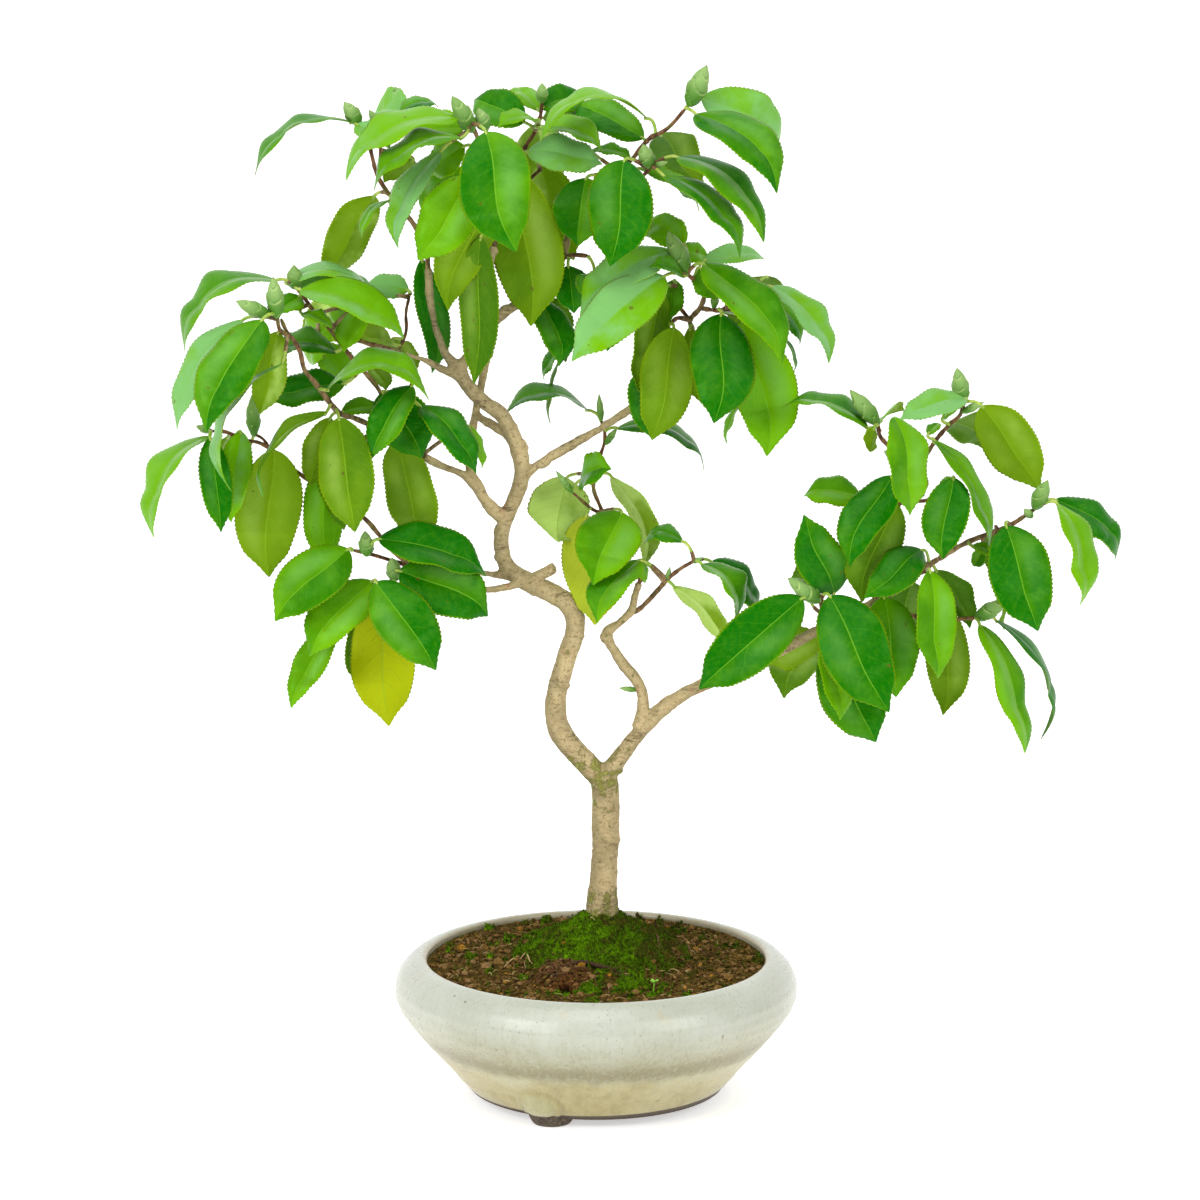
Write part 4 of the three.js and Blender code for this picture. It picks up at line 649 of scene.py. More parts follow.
def mesh_of(name, whole):
    """A mesh in metres with its faces, a UV map named chart and a point attribute named tone."""
    mesh = bpy.data.meshes.new(name)
    quads, tris = whole["quads"], whole["tris"]
    corners = np.concatenate([quads.ravel(), tris.ravel()]).astype(np.int32)
    sizes = np.concatenate([np.full(len(quads), 4), np.full(len(tris), 3)]).astype(np.int32)
    mesh.vertices.add(len(whole["points"]))
    mesh.vertices.foreach_set("co", (whole["points"] * MM).astype(np.float32).ravel())
    mesh.loops.add(len(corners))
    mesh.loops.foreach_set("vertex_index", corners)
    mesh.polygons.add(len(sizes))
    mesh.polygons.foreach_set("loop_start", (np.cumsum(sizes) - sizes).astype(np.int32))
    mesh.polygons.foreach_set("material_index", whole["slots"].astype(np.int32))
    mesh.polygons.foreach_set("use_smooth", np.ones(len(sizes), bool))
    chart = mesh.uv_layers.new(name="chart")
    chart.data.foreach_set("uv", whole["chart"][corners].astype(np.float32).ravel())
    tone = mesh.attributes.new("tone", "FLOAT", "POINT")
    tone.data.foreach_set("value", whole["tone"].astype(np.float32))
    mesh.update(calc_edges=True)
    mesh.validate()
    return mesh


def add_piece(name, mesh, finishes, replaced=()):
    """Links the mesh as a piece on the object's one body, in the named materials."""
    piece = bpy.data.objects.new(name, mesh)
    bpy.context.scene.collection.objects.link(piece)
    for finish in finishes:
        mesh.materials.append(bpy.data.materials[finish])
    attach(piece, "root")
    if replaced:
        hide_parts(*replaced)
    return piece


def blade_outline(s):
    """Half the blade's width at share s of its length, against half its greatest width: a power of
    a sine that is fullest before the middle, drawn in towards the drip tip."""
    full = np.sin(math.pi * s**0.88) ** 0.6
    return full * (1 - 0.5 * ramp(0.8, 0.98, s))


def blade(base, tip, width, arch, turn, draw, tone):
    """A camellia blade as a ring of points at each station of its length. The middle line runs from
    base to tip in a bow of height arch with a hooked tip. Across it the two halves rise in a V and
    turn down at the margin, the midrib is a groove above and a ridge below, every other station of
    the margin is a tooth, and the whole waves a little and sways to one side. A turn of 0 shows the
    viewer its face."""
    chord = tip - base
    length = np.linalg.norm(chord)
    along = chord / length
    to_viewer = unit(np.array([0, -1.0, 0]) + along[1] * along)
    outward = np.cross(to_viewer, along) * (1 if along[0] >= 0 else -1)
    angle = math.radians(turn)
    face = math.cos(angle) * to_viewer + math.sin(angle) * outward
    side = np.cross(along, face)

    teeth = max(10, round(length / TOOTH_PITCH))
    s = np.linspace(0, 1, 2 * teeth + 1)
    half = np.maximum(width / 2 * blade_outline(s), STALK_RADIUS * (1 - ramp(0, 0.25, s)) + 0.25)
    toothed = np.where(np.arange(len(s)) % 2, TOOTH_DEPTH, 0)
    toothed *= ramp(0.06, 0.14, s) * (1 - ramp(0.93, 0.97, s))
    w = BLADE_COLUMNS
    across = half[:, None] * w + toothed[:, None] * (np.abs(w) == 1) * np.sign(w)

    fold = FOLD * (1 + FOLD_SPREAD * draw.uniform(-1, 1))
    recurve = draw.uniform(*RECURVE)
    wave = draw.uniform(*WAVE) * width
    hook = draw.uniform(*HOOK) * length
    sway = draw.uniform(-SWAY, SWAY) * length
    phase = draw.uniform(0, 2 * math.pi)
    belly = np.sin(math.pi * s) ** 0.5
    rise = fold * half[:, None] * np.abs(w) ** 1.2 * belly[:, None]
    rise -= recurve * half[:, None] * ramp(0.6, 1.15, np.abs(w)) * 1.6
    rise += wave * w**2 * np.sin(4.4 * math.pi * s[:, None] + phase + 1.3 * np.sign(w)) * belly[:, None]
    bow = arch * 4 * s * (1 - s) + hook * np.sin(math.pi * np.clip((s - 0.66) / 0.34, 0, 1))
    groove = np.exp(-(across / 0.7) ** 2) * (1 - 0.7 * s[:, None])
    thick = BLADE_THICKNESS * (1 - 0.6 * w**2)
    upper = rise + bow[:, None] + thick / 2 - 0.28 * groove
    under = rise + bow[:, None] - thick / 2 - 0.4 * groove
    swayed = sway * (np.sin(math.pi * s) - 0.6 * np.sin(2 * math.pi * s))
    middle = base + chord * s[:, None] + swayed[:, None] * side

    there_and_back = [*range(len(w)), *range(len(w) - 2, 0, -1)]
    height = np.concatenate([upper, under[:, -2:0:-1]], 1)
    rings = middle[:, None] + across[:, there_and_back, None] * side + height[..., None] * face
    chart = np.stack(np.broadcast_arrays(w[there_and_back][None], s[:, None]), -1)
    slots = np.where(np.arange(rings.shape[1]) < len(w) - 1, UPPER, UNDER)
    return skin(rings, slots, tone, chart)


def nearest_on(twigs, point):
    """The point of the sketched twigs nearest to the one given: on every straight stretch the foot
    of the square line to it, held inside the stretch, and then the nearest of all."""
    starts = np.concatenate([place(twig)[:-1] for twig in twigs])
    runs = np.concatenate([np.diff(place(twig), axis=0) for twig in twigs])
    share = np.clip(((point - starts) * runs).sum(1) / (runs * runs).sum(1), 0, 1)
    spots = starts + share[:, None] * runs
    return spots[np.linalg.norm(spots - point, axis=1).argmin()]


def bent_path(start, corner, end, count):
    """A path that leaves start towards corner and reaches end from it: (1-t)^2 start +
    2t(1-t) corner + t^2 end."""
    t = np.linspace(0, 1, count)[:, None]
    return (1 - t) ** 2 * start + 2 * t * (1 - t) * corner + t**2 * end


def leaf(row, twigs, fullness, draw):
    """A blade with its stalk, which bends out of the nearest twig. Where the blade stands further
    from the twig than a stalk reaches, the stalk rises from a thin side shoot."""
    base, tip = place(row[0:3]), place(row[3:6])
    width, arch, turn = fullness * row[6], *row[7:9]
    tone = draw.uniform(*(row[9] if len(row) > 9 else USUAL))
    root = nearest_on(twigs, base)
    along = unit(tip - base)
    reach = np.linalg.norm(base - root)
    inside = base + along * 1.5
    corner = base - along * min(reach * 0.5, STALK_LENGTH * 0.5)
    path = bent_path(root, corner, inside, 12)
    run = run_along(path)
    left = run[-1] - run
    flare = 0.35 * np.exp(-run / 1.2)
    parts = [blade(base, tip, width, arch, turn, draw, tone)]
    if run[-1] > STALK_LENGTH + 4:
        shoot = left >= STALK_LENGTH - 1.5
        parts.append(tube(path[shoot], 1.0 + flare[shoot], TWIG_SIDES, WOOD, tone))
        path, flare = path[left <= STALK_LENGTH + 2.5], flare[left <= STALK_LENGTH + 2.5]
    parts.append(tube(path, STALK_RADIUS + flare, TWIG_SIDES, STALK, tone))
    return parts


def bud(row, draw):
    """A scaly bud: rings about its axis swell and close to a point. Each of three rows of scales
    overlaps the next, so the surface steps in where a scale ends, and a scale is longest at its
    middle. The chart holds how far along its scale a point lies and how far along the bud."""
    tip, base = place(row[0:3]), place(row[4:7])
    side, up = ways_round(unit(tip - base))
    spin = draw.uniform(0, math.pi)
    angle = round_points(BUD_POINTS)
    s = np.linspace(0, 1, BUD_STATIONS)[:, None]
    swell = np.sin(math.pi * (0.03 + 0.97 * s) ** 0.85) ** 0.8
    lean = 0.85 * np.abs(np.cos(SCALES_IN_ROW / 2 * angle + spin))
    step = (s * SCALE_ROWS + lean) % 1
    radius = np.maximum(row[3] / 2 * swell * (0.92 + 0.18 * step), 0.25)
    rings = (
        base + (tip - base) * (s * 1.06 - 0.06)[..., None]
        + (radius * np.cos(angle))[..., None] * side
        + (radius * np.sin(angle))[..., None] * up
    )
    chart = np.stack(np.broadcast_arrays(step, s), -1)
    return skin(rings, BUD, draw.uniform(0, 1), chart)


def twig(points, root, draw):
    """Young wood along sketched points, led from the wood it grows on where that is known, thickened
    at its nodes and narrowed at its end."""
    sketched = np.column_stack([place(points), np.array(points)[:, 3]])
    if root is not None:
        sketched = np.vstack([[*root, sketched[0, 3]], sketched])
    run = smooth_run(sketched, TWIG_SPANS)
    path, radii = run[:, :3], run[:, 3] * TWIG_SLIMNESS
    off_node = np.arange(len(radii)) % TWIG_SPANS - TWIG_SPANS / 2
    radii *= 1 + 0.16 * np.exp(-(off_node / 1.1) ** 2) * draw.uniform(0.4, 1, len(radii))
    radii[-1] *= 0.6
    radii *= 1 + 0.16 * unevenness(path, 5, 50)
    age = np.repeat(ramp(1.0, 1.9, run[:, 3]), TWIG_SIDES)
    return tube(path, radii, TWIG_SIDES, WOOD, np.concatenate([age, age[:1], age[-1:]]))


def spray_mesh(name, sketch, fullness, seed):
    """All twigs, leaves and buds of a spray in one mesh. Its first twig starts on the nearest wood
    of the limbs and the other sprays."""
    draw = np.random.default_rng(seed)
    first, *others = sketch["twigs"]
    start = place(first[0])
    wood = LIMBS + [run for other in SPRAYS.values() if other is not sketch for run in other["twigs"]]
    root = nearest_on(wood, start)
    parts = [twig(first, root, draw)] + [twig(points, None, draw) for points in others]
    for row in sketch["leaves"]:
        parts += leaf(row, sketch["twigs"], fullness, draw)
    parts += [bud(row, draw) for row in sketch["buds"]]
    return mesh_of(name, joined(parts))


def wood_mesh(name, grain):
    """The trunk and its limbs: round tubes through the sketched points, merged by a voxel remesh of
    so fine a grain, then relaxed and pushed along their normals. The push is low waves of some
    centimetres, bark wrinkles of some millimetres and a knot here and there."""
    tubes = []
    for limb in LIMBS:
        sketched = np.column_stack([place(limb), np.array(limb)[:, 3]])
        run = smooth_run(sketched, LIMB_SPANS)
        tubes.append(tube(run[:, :3], run[:, 3], LIMB_SIDES))
    rough_mesh = mesh_of("rough_wood", joined(tubes))
    rough = bpy.data.objects.new("rough_wood", rough_mesh)
    bpy.context.scene.collection.objects.link(rough)
    merge = rough.modifiers.new("merge", "REMESH")
    merge.mode = "VOXEL"
    merge.voxel_size = grain * MM
    merge.use_smooth_shade = True
    relax = rough.modifiers.new("relax", "SMOOTH")
    relax.factor = 0.5
    relax.iterations = 9
    merged = rough.evaluated_get(bpy.context.evaluated_depsgraph_get())
    mesh = bpy.data.meshes.new_from_object(merged)
    mesh.name = name
    bpy.data.objects.remove(rough)
    bpy.data.meshes.remove(rough_mesh)

    points = np.empty(3 * len(mesh.vertices))
    normals = np.empty(3 * len(mesh.vertices))
    mesh.vertices.foreach_get("co", points)
    mesh.vertices.foreach_get("normal", normals)
    points, normals = points.reshape(-1, 3) / MM, normals.reshape(-1, 3)
    push = 0.4 * unevenness(points, 30, 1) + 0.25 * unevenness(points, 9, 2)
    push += 0.12 * unevenness(points * np.array([1, 1, 1.6]), 3.4, 3)
    knots = unevenness(points * np.array([0.8, 0.8, 1]), 13, 4)
    push += 0.9 * ramp(0.75, 1.25, knots)
    points += normals * push[:, None]
    mesh.vertices.foreach_set("co", (points * MM).ravel())
    mesh.update()
    return mesh


def bowl_mesh(name, segments):
    """The bowl turned from its closed profile, a little out of round, with a low boss over each foot:
    a dome pushed out of the wall with a shallow ring pressed into it. The tone is 1 on the dome,
    which is painted pale as a highlight, and -1 in the groove on one side of it, painted dark as
    shade. Below it stand the feet."""
    profile = smooth_run(BOWL_PROFILE + BOWL_PROFILE[:1], BOWL_SMOOTHNESS)[:-1]
    angle = round_points(segments)
    radius, height = profile[:, 0, None], profile[:, 1, None]
    spin = np.stack([np.cos(angle), np.sin(angle)], -1)
    outer = (np.arange(len(profile)) < BOWL_SMOOTHNESS * OUTER_PROFILE_POINTS)[:, None]
    throwing = 0.12 * np.sin(height * 1.1 + 0.4 * np.sin(2 * angle)) + 0.35 * np.sin(2 * angle + 1.3)
    lift = np.where(outer, throwing, 0) * ramp(8, 14, height)
    # The tone carries painted light on each boss: a painted highlight on the dome, painted shade in the
    # groove on one side
    painted_boss_light_and_shade = 0 * lift
    feet = []
    for k in range(FOOT_COUNT):
        turn = FRONT_FOOT_ANGLE + 2 * math.pi * k / FOOT_COUNT
        off_turn = (angle - turn + math.pi) % (2 * math.pi) - math.pi
        beside = off_turn * radius
        away = np.hypot(beside + BOSS_SHIFT, (height - BOSS_HEIGHT) * BOSS_SQUASH) / BOSS_RADIUS
        dome = np.sqrt(np.clip(1 - away**2, 0, 1)) ** 1.2
        ring = np.exp(-((away - BOSS_RING) / 0.1) ** 2)
        lift = lift + np.where(outer, BOSS_DEPTHS[k] * (dome - BOSS_RING_DEPTH * ring), 0)
        # The painted shade lies in the groove on one side of the boss only
        edge = np.exp(-((away - 1) / 0.1) ** 2) * ramp(-0.3, 0.5, beside / BOSS_RADIUS)
        painted_boss_light_and_shade = painted_boss_light_and_shade + np.where(outer, 1 - ramp(0.5, 0.95, away) - edge, 0)
        heights, radii = np.array(FOOT_PROFILE).T
        centre = FOOT_CIRCLE_RADIUS * np.array([math.cos(turn), math.sin(turn)])
        path = np.column_stack([np.full((len(heights), 2), centre), heights])
        wobble = 1 + 0.03 * unevenness(path, 11, 60 + k)
        feet.append(tube(path, radii * wobble, FOOT_SIDES, 1))
    wall = (radius + lift * math.cos(WALL_SLOPE))[..., None] * spin
    level = height - lift * math.sin(WALL_SLOPE) * ramp(20, 12, height)
    chart = np.stack(np.broadcast_arrays(angle[None] / (2 * math.pi), height), -1)
    slots = np.where(height > BARE_CLAY_HEIGHT, 0, 1)
    rings = np.concatenate([wall, level[..., None]], -1)
    whole = joined([skin(rings, slots, painted_boss_light_and_shade.ravel(), chart, round_again=True), *feet])
    whole["points"] = whole["points"] + BOWL_OFFSET
    return mesh_of(name, whole)


def level_unevenness(x, y, wavelength, seed):
    """Unevenness over the ground."""
    return unevenness(np.stack([x, y, 0 * x], -1), wavelength, seed)


def ground(x, y):
    """How high the soil lies at points given from the bowl's axis: a mound round the trunk that is
    steepest at the bark and runs out into soil that rises a little to the back. In front of it a
    lump, and hollows sunk in."""
    nearness = 1 - ramp(MOSS_REACH, RIM_OPENING_RADIUS, np.hypot(x, y))
    distance = np.hypot(x - TRUNK_FOOT[0] * nearness, y - TRUNK_FOOT[1] * nearness)
    share = np.minimum(distance / MOUND_RADIUS, 1)
    height = SOIL_LEVEL + MOUND_HEIGHT * (1 - share) ** SKIRT_SOFTNESS + BACK_RISE * ramp(10, 80, y)
    lump = LUMP_HEIGHT * np.exp(-(np.hypot(x - LUMP[0], y - LUMP[1]) / LUMP_RADIUS) ** 4)
    return height + lump - HOLLOW_DEPTH * hollowness(x, y)


def bareness(x, y):
    """1 on the lump of old roots, 0 outside it, with a soft edge."""
    middle = LUMP + [1.5, -3.0]
    return 1 - ramp(0.75, 1.2, np.hypot(x - middle[0], y - middle[1]) / LUMP_RADIUS)


def hollowness(x, y):
    """1 in the middle of each hollow, falling to nearly 0 at its edge."""
    spots = [
        np.exp(-(((x - middle_x) / across) ** 2) - ((y - middle_y) / along) ** 6)
        for middle_x, middle_y, across, along in HOLLOWS
    ]
    return np.maximum(*spots)


def mossiness(x, y):
    """Above 0 where moss covers the soil: a ragged patch round the trunk, a few tufts along the rim,
    more before it, none in the hollows."""
    distance = np.hypot((x - TRUNK_FOOT[0]) / 1.15, y - TRUNK_FOOT[1])
    ragged = 0.5 * level_unevenness(x, y, 3.2, 14)
    cover = (MOSS_REACH - 4 - distance) / 16 + level_unevenness(x, y, 21, 11)
    cover += 0.7 * level_unevenness(x, y, 7, 12) + ragged
    cover -= 0.9 * ramp(18, 50, x) + 1.3 * ramp(-22, -50, x)
    cover += 1.1 * np.exp(-(((x - 8) / 24) ** 2) - ((y + 62) / 20) ** 2)
    rim_tufts = 1.5 * level_unevenness(x, y, 15, 13) + ragged - 1.25
    cover = np.maximum(cover, np.where(distance > MOSS_REACH, rim_tufts, -1))
    return np.clip(cover, -1, 1) - 2 * bareness(x, y) - 2 * hollowness(x, y)


def greenness(x, y):
    """How fresh the moss is, about 0 to 1: freshest in front of the trunk and left of it."""
    fresh = 1 - ramp(-12, 34, x + 0.5 * y + 9 * level_unevenness(x, y, 26, 15))
    patches = 0.3 * level_unevenness(x, y, 9, 16) + 0.16 * level_unevenness(x, y, 3.6, 17)
    return np.clip(0.34 + 0.42 * fresh + patches, 0, 1)


def moss_height(x, y):
    """How high the moss lies: its thickness over the soil where it grows, and below it elsewhere."""
    lumps = 1.1 * level_unevenness(x, y, 11, 31) + 0.9 * level_unevenness(x, y, 4.5, 32)
    cover = ramp(-0.35, 0.35, mossiness(x, y))
    return ground(x, y) - MOSS_ROOTING + cover * (MOSS_ROOTING + MOSS_THICKNESS + lumps * 0.8)


def bed_rings(rings, columns, reach):
    """Points of a disc as rings round the middle, further apart towards its rim, with their angle."""
    angle = round_points(columns)
    radius = (reach * np.linspace(0.004, 1, rings))[:, None]
    return radius * np.cos(angle), radius * np.sin(angle), angle


def soil_mesh(name, rings, columns):
    """The soil: the ground raised and sunk by crumbs of three sizes, closed by the shape of the
    bowl's inside. The tone is 0.45 on the lump of old roots and 1 in its hollow, which is painted
    nearly black as shade."""
    x, y, angle = bed_rings(rings, columns, RIM_OPENING_RADIUS + 1.6)
    crumbs = 0.7 * level_unevenness(x, y, 9, 21) + 0.5 * level_unevenness(x, y, 4, 22)
    crumbs += 0.35 * level_unevenness(x, y, 2.2, 23)
    settled = 1 - ramp(0.93, 1, np.hypot(x, y) / RIM_OPENING_RADIUS)
    top = np.stack([x, y, ground(x, y) - 0.5 + crumbs * (0.35 + 0.65 * settled)], -1)
    spin = np.stack([np.cos(angle), np.sin(angle)], -1)
    inside = [
        np.column_stack([radius * spin, np.full(columns, height)]) for radius, height in SOIL_UNDERSIDE
    ]
    # The hollow's part of this tone paints it nearly black as painted shade
    shade = 0.45 * bareness(x, y) + 0.55 * hollowness(x, y)
    tone = np.concatenate([shade.ravel(), np.zeros(len(inside) * columns + 2)])
    return mesh_of(name, skin(np.concatenate([top, inside]) + BOWL_OFFSET, 0, tone))


def moss_mesh(name, rings, columns):
    """The moss: a cushion over the soil that swells into lumps and dips under the soil at its ragged
    edge, closed by a coarser copy of the ground below it."""
    x, y, _ = bed_rings(rings, columns, RIM_OPENING_RADIUS - 1)
    height = moss_height(x, y)
    upper = np.stack([x, y, height], -1)
    lower = np.stack([x, y, np.minimum(ground(x, y), height) - MOSS_ROOTING], -1)[::-10]
    fresh = 0.8 * greenness(x, y)
    tone = np.concatenate([fresh.ravel(), fresh[::-10].ravel(), fresh[0, :1], fresh[0, :1]])
    return mesh_of(name, skin(np.concatenate([upper, lower]) + BOWL_OFFSET, 0, tone))


def strewn(draw, reach, count, inner=0.0):
    """So many points drawn evenly over a disc, or over a ring outside the inner share of its area."""
    away = reach * np.sqrt(draw.uniform(inner, 1, count))
    turn = draw.uniform(0, 2 * math.pi, count)
    return away * np.cos(turn), away * np.sin(turn)


def loose(points, tris, tone):
    """A part of plain triangles from a grid of points for each of many small solids, the corners of
    every face of one solid, and the tone of each solid."""
    count, corners = points.shape[:2]
    tris = (corners * np.arange(count)[:, None, None] + np.array(tris)).reshape(-1, 3)
    return dict(
        points=points.reshape(-1, 3),
        quads=np.zeros((0, 4), int),
        tris=tris,
        slots=np.zeros(len(tris), int),
        chart=np.zeros((count * corners, 2)),
        tone=np.repeat(tone, corners),
    )


def tuft_mesh(name, tuft_count, seed):
    """The moss's tufts: thin three-sided points that stand on it and lean a little."""
    draw = np.random.default_rng(seed)
    x, y = strewn(draw, RIM_OPENING_RADIUS - 2, 3 * tuft_count)
    standing = mossiness(x, y) + draw.uniform(-0.35, 0.1, len(x)) > 0
    standing &= np.hypot(x - TRUNK_FOOT[0], y - TRUNK_FOOT[1]) >= TRUNK_FOOT_RADIUS - 1
    x, y = x[standing][:tuft_count], y[standing][:tuft_count]
    foot = np.stack([x, y, moss_height(x, y) - 0.4], -1) + BOWL_OFFSET
    tall = draw.uniform(0.8, 1.9, len(x))
    wide = draw.uniform(0.28, 0.5, len(x))
    lean = draw.normal(0, 0.45, (len(x), 2)) * tall[:, None]
    peak = foot + np.column_stack([lean, tall])
    twist = draw.uniform(0, 2 * math.pi, len(x))
    corners = [
        foot + wide[:, None] * np.column_stack([np.cos(twist + k), np.sin(twist + k), 0 * twist])
        for k in 2 * math.pi / 3 * np.arange(3)
    ]
    fresh = np.clip(greenness(x, y) + draw.normal(0, 0.3, len(x)), 0, 1)
    faces = [[0, 1, 3], [1, 2, 3], [2, 0, 3], [0, 2, 1]]
    return mesh_of(name, loose(np.stack([*corners, peak], 1), faces, fresh))


def grain_mesh(name, count, seed):
    """Soil grains: twenty-sided stones squashed and jittered at random, most small, some up to four
    millimetres, lying half sunk wherever the moss is thin. The first is the pale pebble in front."""
    golden = (1 + math.sqrt(5)) / 2
    corners = np.array([
        [-1, golden, 0], [1, golden, 0], [-1, -golden, 0], [1, -golden, 0],
        [0, -1, golden], [0, 1, golden], [0, -1, -golden], [0, 1, -golden],
        [golden, 0, -1], [golden, 0, 1], [-golden, 0, -1], [-golden, 0, 1],
    ]) / math.hypot(1, golden)
    faces = [
        [0, 11, 5], [0, 5, 1], [0, 1, 7], [0, 7, 10], [0, 10, 11], [1, 5, 9], [5, 11, 4],
        [11, 10, 2], [10, 7, 6], [7, 1, 8], [3, 9, 4], [3, 4, 2], [3, 2, 6], [3, 6, 8],
        [3, 8, 9], [4, 9, 5], [2, 4, 11], [6, 2, 10], [8, 6, 7], [9, 8, 1],
    ]
    draw = np.random.default_rng(seed)
    x, y = strewn(draw, RIM_OPENING_RADIUS - 2.5, 4 * count)
    open_soil = mossiness(x, y) < draw.uniform(-0.4, 0.25, len(x))
    open_soil &= hollowness(x, y) < 0.3
    x, y = x[open_soil][:count], y[open_soil][:count]
    size = np.minimum(0.36 + draw.exponential(0.27, len(x)), 1.9)
    tone = draw.uniform(0, 1, len(x))
    size = np.where((tone > 0.86) & (draw.uniform(0, 1, len(x)) > 0.5), size * 1.7, size)
    size = np.minimum(size, (RIM_OPENING_RADIUS - np.hypot(x, y)) * 0.8)
    pebble, = on_ground([PEBBLE], 0) - BOWL_OFFSET
    x[0], y[0], size[0], tone[0] = pebble[0], pebble[1], PEBBLE_SIZE, 1
    middle = np.stack([x, y, ground(x, y) + 0.15 * size], -1) + BOWL_OFFSET
    stretch = draw.uniform(0.7, 1.25, (len(x), 1, 3)) * np.array([1, 1, 0.8])
    jitter = draw.uniform(0.82, 1.15, (len(x), len(corners), 1))
    points = middle[:, None] + corners * stretch * jitter * size[:, None, None]
    mesh = mesh_of(name, loose(points, faces, tone))
    mesh.polygons.foreach_set("use_smooth", np.zeros(len(mesh.polygons), bool))
    return mesh


def on_ground(sketched, lift):
    """Sketched points (u, v) laid on the ground: each line of sight is followed in small steps to
    where it first dips below the ground, and raised from there by its lift."""
    depths = np.linspace(-66, 62, 1281)
    spots = []
    for (u, v), rise in zip(sketched, np.broadcast_to(lift, len(sketched))):
        sight = place(np.column_stack([np.full_like(depths, u), np.full_like(depths, v), depths]))
        off_axis = sight - BOWL_OFFSET
        below = off_axis[:, 2] < ground(off_axis[:, 0], off_axis[:, 1])
        spots.append(sight[np.argmax(below)] + np.array([0, 0, rise]))
    return np.array(spots)


def fibre(x, y, rise, thickness, tone):
    """A thin tube over the points (x, y), so high above the ground."""
    path = np.column_stack([x, y, ground(x, y) + rise]) + BOWL_OFFSET
    return tube(path, thickness, FIBRE_SIDES, 0, tone)


def litter_mesh(name, straw_count, seed):
    """Roots that cross the soil, bits of straw and the fibres of the lump, none across a hollow."""
    draw = np.random.default_rng(seed)
    parts = []
    for sketched, lifts, thickness, tone in SURFACE_ROOTS:
        path = smooth_run(on_ground(sketched, lifts), 8)
        swell = 1 + 0.15 * unevenness(path, 6, 40)
        taper = np.sin(math.pi * np.linspace(0.12, 0.88, len(path))) ** 0.5
        parts.append(tube(path, thickness * swell * taper, TWIG_SIDES, 0, tone))
    for straw_x, straw_y in zip(*strewn(draw, RIM_OPENING_RADIUS - 8, straw_count, 0.2)):
        heading, length = draw.uniform(0, math.pi), draw.uniform(2.5, 6.5)
        t = np.linspace(-0.5, 0.5, 7)
        x = straw_x + length * t * math.cos(heading) + draw.uniform(-1, 1) * t**2 * 4
        y = straw_y + length * t * math.sin(heading) + draw.uniform(-1, 1) * t**2 * 4
        thickness, tone = draw.uniform(0.12, 0.28), draw.uniform(0.15, 1) ** 1.1
        if hollowness(x, y).max() < HOLLOW_EDGE:
            parts.append(fibre(x, y, 0.8 - 3 * t**2, thickness, tone))
    for _ in range(LUMP_FIBRES):
        start = LUMP + draw.normal(0, 1, 2) * LUMP_RADIUS * 0.45
        heading, length = draw.uniform(0, 2 * math.pi), draw.uniform(2, 6)
        t = np.linspace(0, 1, 7)
        x = start[0] + length * t * math.cos(heading)
        y = start[1] + length * t * math.sin(heading) * 0.6
        if hollowness(x, y).max() < HOLLOW_EDGE:
            arch = draw.uniform(0.5, 2.5) * np.sin(math.pi * t)
            parts.append(fibre(x, y, arch, draw.uniform(0.14, 0.3), draw.uniform(0.1, 0.55)))
    return mesh_of(name, joined(parts))


def seedling_mesh(name):
    """A seedling with four small round leaves held level round its tip, each a flat dome."""
    foot, = on_ground([SEEDLING], -0.5)
    rise = np.linspace(0, 1, 6)[:, None]
    stem = foot + rise * np.array([0.6, -0.4, SEEDLING_HEIGHT])
    parts = [tube(stem, 0.35, SEEDLING_SIDES, 0, 0.3)]
    angle = round_points(12)
    share = np.array([0.25, 0.7, 1, 0.7, 0.25])[:, None]
    lift = np.array([0.35, 0.3, 0, -0.1, -0.12])[:, None]
    for k in range(4):
        turn = math.pi / 2 * k + 0.5
        outward = np.array([math.cos(turn), math.sin(turn), 0.8])
        side = np.array([-math.sin(turn), math.cos(turn), 0])
        rings = (
            stem[-1] + 1.2 * outward
            + (1.2 * share * np.cos(angle))[..., None] * outward
            + (1.1 * share * np.sin(angle))[..., None] * side
            + (lift + 0 * angle)[..., None] * np.array([0, 0, 1])
        )
        parts.append(skin(rings, 0, 0.7))
    return mesh_of(name, joined(parts))


def colour(red, green, blue):
    """A colour as seen on a screen, 0 to 255 each, as the linear values that Blender takes."""
    values = np.array([red, green, blue]) / 255
    linear = np.where(values > 0.04045, ((values + 0.055) / 1.055) ** 2.4, values / 12.92)
    return (*linear.tolist(), 1.0)


def connect(socket, value):
    """Gives a socket a field, a number or a colour; three whole numbers are a screen colour."""
    if isinstance(value, Field):
        socket.id_data.links.new(value.output, socket)
    elif socket.type == "RGBA" and len(value) == 3:
        socket.default_value = colour(*value)
    else:
        socket.default_value = value


def add_node(tree, kind, output=None, inputs=None, **settings):
    """A new node with its settings and inputs, as the field of one of its outputs."""
    node = tree.nodes.new(kind)
    for key, value in settings.items():
        setattr(node, key, value)
    for socket, value in (inputs or {}).items():
        connect(node.inputs[socket], value)
    return None if output is None else Field(node.outputs[output])


